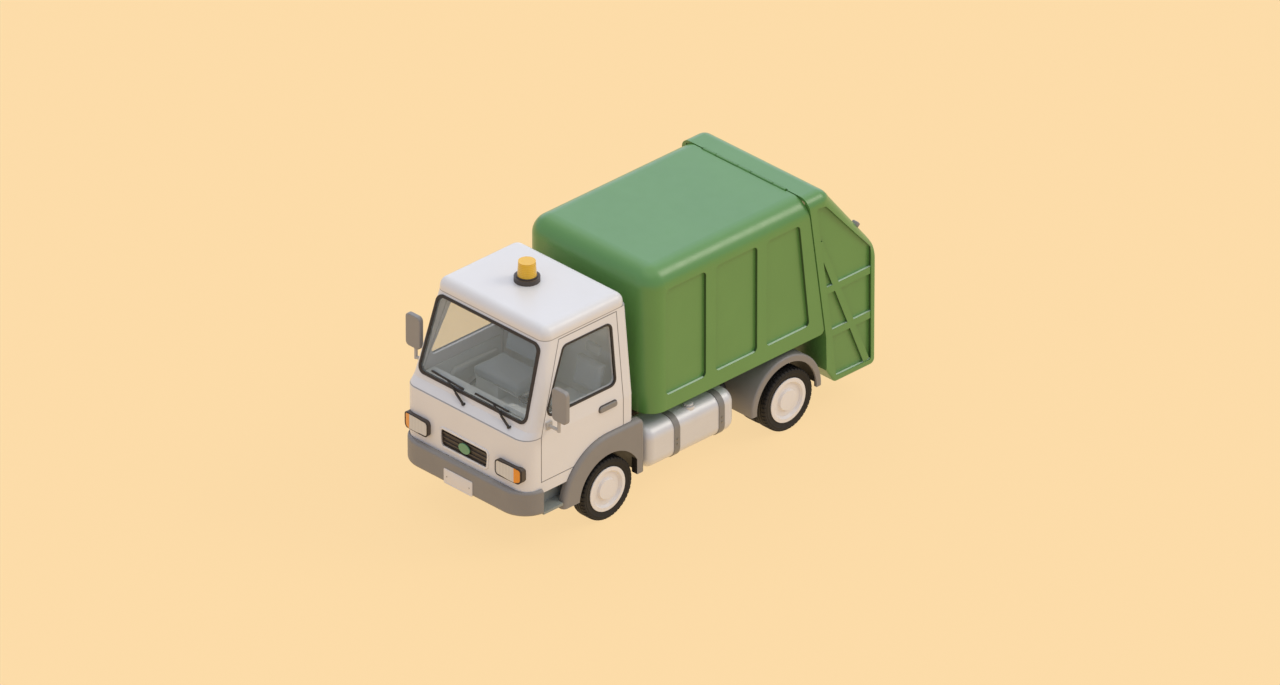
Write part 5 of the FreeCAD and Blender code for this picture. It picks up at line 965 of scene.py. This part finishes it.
# marker lamps: a low moulded housing with softened edges, screwed to each side of the slope
SLOPE_TOP, SLOPE_FOOT = Vector((0, gate_high.y - 0.760, gate_high.z - 0.008)), Vector((0,
                                                                                       gate_high.y - 0.072,
                                                                                       2.010))
down = (SLOPE_FOOT - SLOPE_TOP).normalized()
off = Vector((0, -down.z, down.y))
marker_middle = SLOPE_TOP.lerp(SLOPE_FOOT, 0.80)
verts, faces = [], []
for side in (-1, 1):
    housing = rounded_block((-0.045, -0.03, -0.020), (0.045, 0.03, 0.036), 0.014)
    start = len(verts)
    verts += [marker_middle + Vector((side * 0.905 + vert.co.x, 0, 0)) + down * vert.co.y + off * vert.co.z
              for vert in housing.verts]
    faces += [[start + vert.index for vert in face.verts] for face in housing.faces]
    housing.free()
markers = piece("slope_marker_lamps", verts, faces, grey_plastic, "tailgate")
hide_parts("slope_lamps")


# --- Floor, light and camera -----------------------------------------------------------------
# A seamless peach floor that gives off a little light of its own, as paper lit from below does,
# under a cool overcast sky with one warm lamp high at the rear left.
FLOOR_SIZE = 60.0
floor_paper, _, _, shader = new_material("peach_paper", Roughness=0.9, Emission_Strength=1.0)
shader.inputs["Specular IOR Level"].default_value = 0.0
for socket, share in (("Base Color", 0.10), ("Emission Color", 0.90)):
    shader.inputs[socket].default_value = [part * share for part in colour("#FDDCA8")[:3]] + [1]
floor_mesh = bpy.data.meshes.new("floor")
floor_mesh.from_pydata([(*corner, 0) for corner in rectangle(-FLOOR_SIZE, -FLOOR_SIZE, FLOOR_SIZE,
                                                             FLOOR_SIZE)], [], [(0, 1, 2, 3)])
floor_mesh.materials.append(floor_paper)
new_object("floor", floor_mesh)

sky = bpy.data.worlds.new("overcast")
bpy.context.scene.world = sky
sky.use_nodes = True
sky_inputs = sky.node_tree.nodes["Background"].inputs
sky_inputs["Color"].default_value = (0.50, 0.54, 0.68, 1)
sky_inputs["Strength"].default_value = 1.0

LAMPS = [  # name, the way the light comes from, its strength, its width in degrees, its tint
    ("key", (0.50, 0.60, 0.62), 0.75, 24, (1.0, 0.93, 0.78)),
    ("overhead", (0.0, 0.0, 1.0), 0.80, 80, (1.0, 0.97, 0.70)),
    ("rear_softbox", (-0.62, 0.61, 0.50), 0.60, 70, (0.85, 0.95, 1.2)),
]
for name, way, strength, width, tint in LAMPS:
    lamp = bpy.data.lights.new(name, "SUN")
    lamp.energy = strength
    lamp.angle = math.radians(width)
    lamp.color = tint
    new_object(name, lamp).rotation_euler = Vector(way).to_track_quat("Z", "Y").to_euler()

AZIMUTH, ELEVATION = math.radians(45.7), math.radians(29.9)
DISTANCE, LENS, LOOKED_AT = 239.7, 600.0, Vector((0.0, 0.059, 1.2754))
back = Vector((math.cos(ELEVATION) * math.sin(AZIMUTH), -math.cos(ELEVATION) * math.cos(AZIMUTH),
               math.sin(ELEVATION)))
eye = bpy.data.cameras.new("camera")
eye.lens = LENS
eye.sensor_width = 36.0
eye.clip_end = 1000.0
camera = new_object("camera", eye)
camera.location = LOOKED_AT + back * DISTANCE
camera.rotation_euler = back.to_track_quat("Z", "Y").to_euler()
bpy.context.scene.camera = camera
bpy.context.scene.view_settings.view_transform = "Standard"
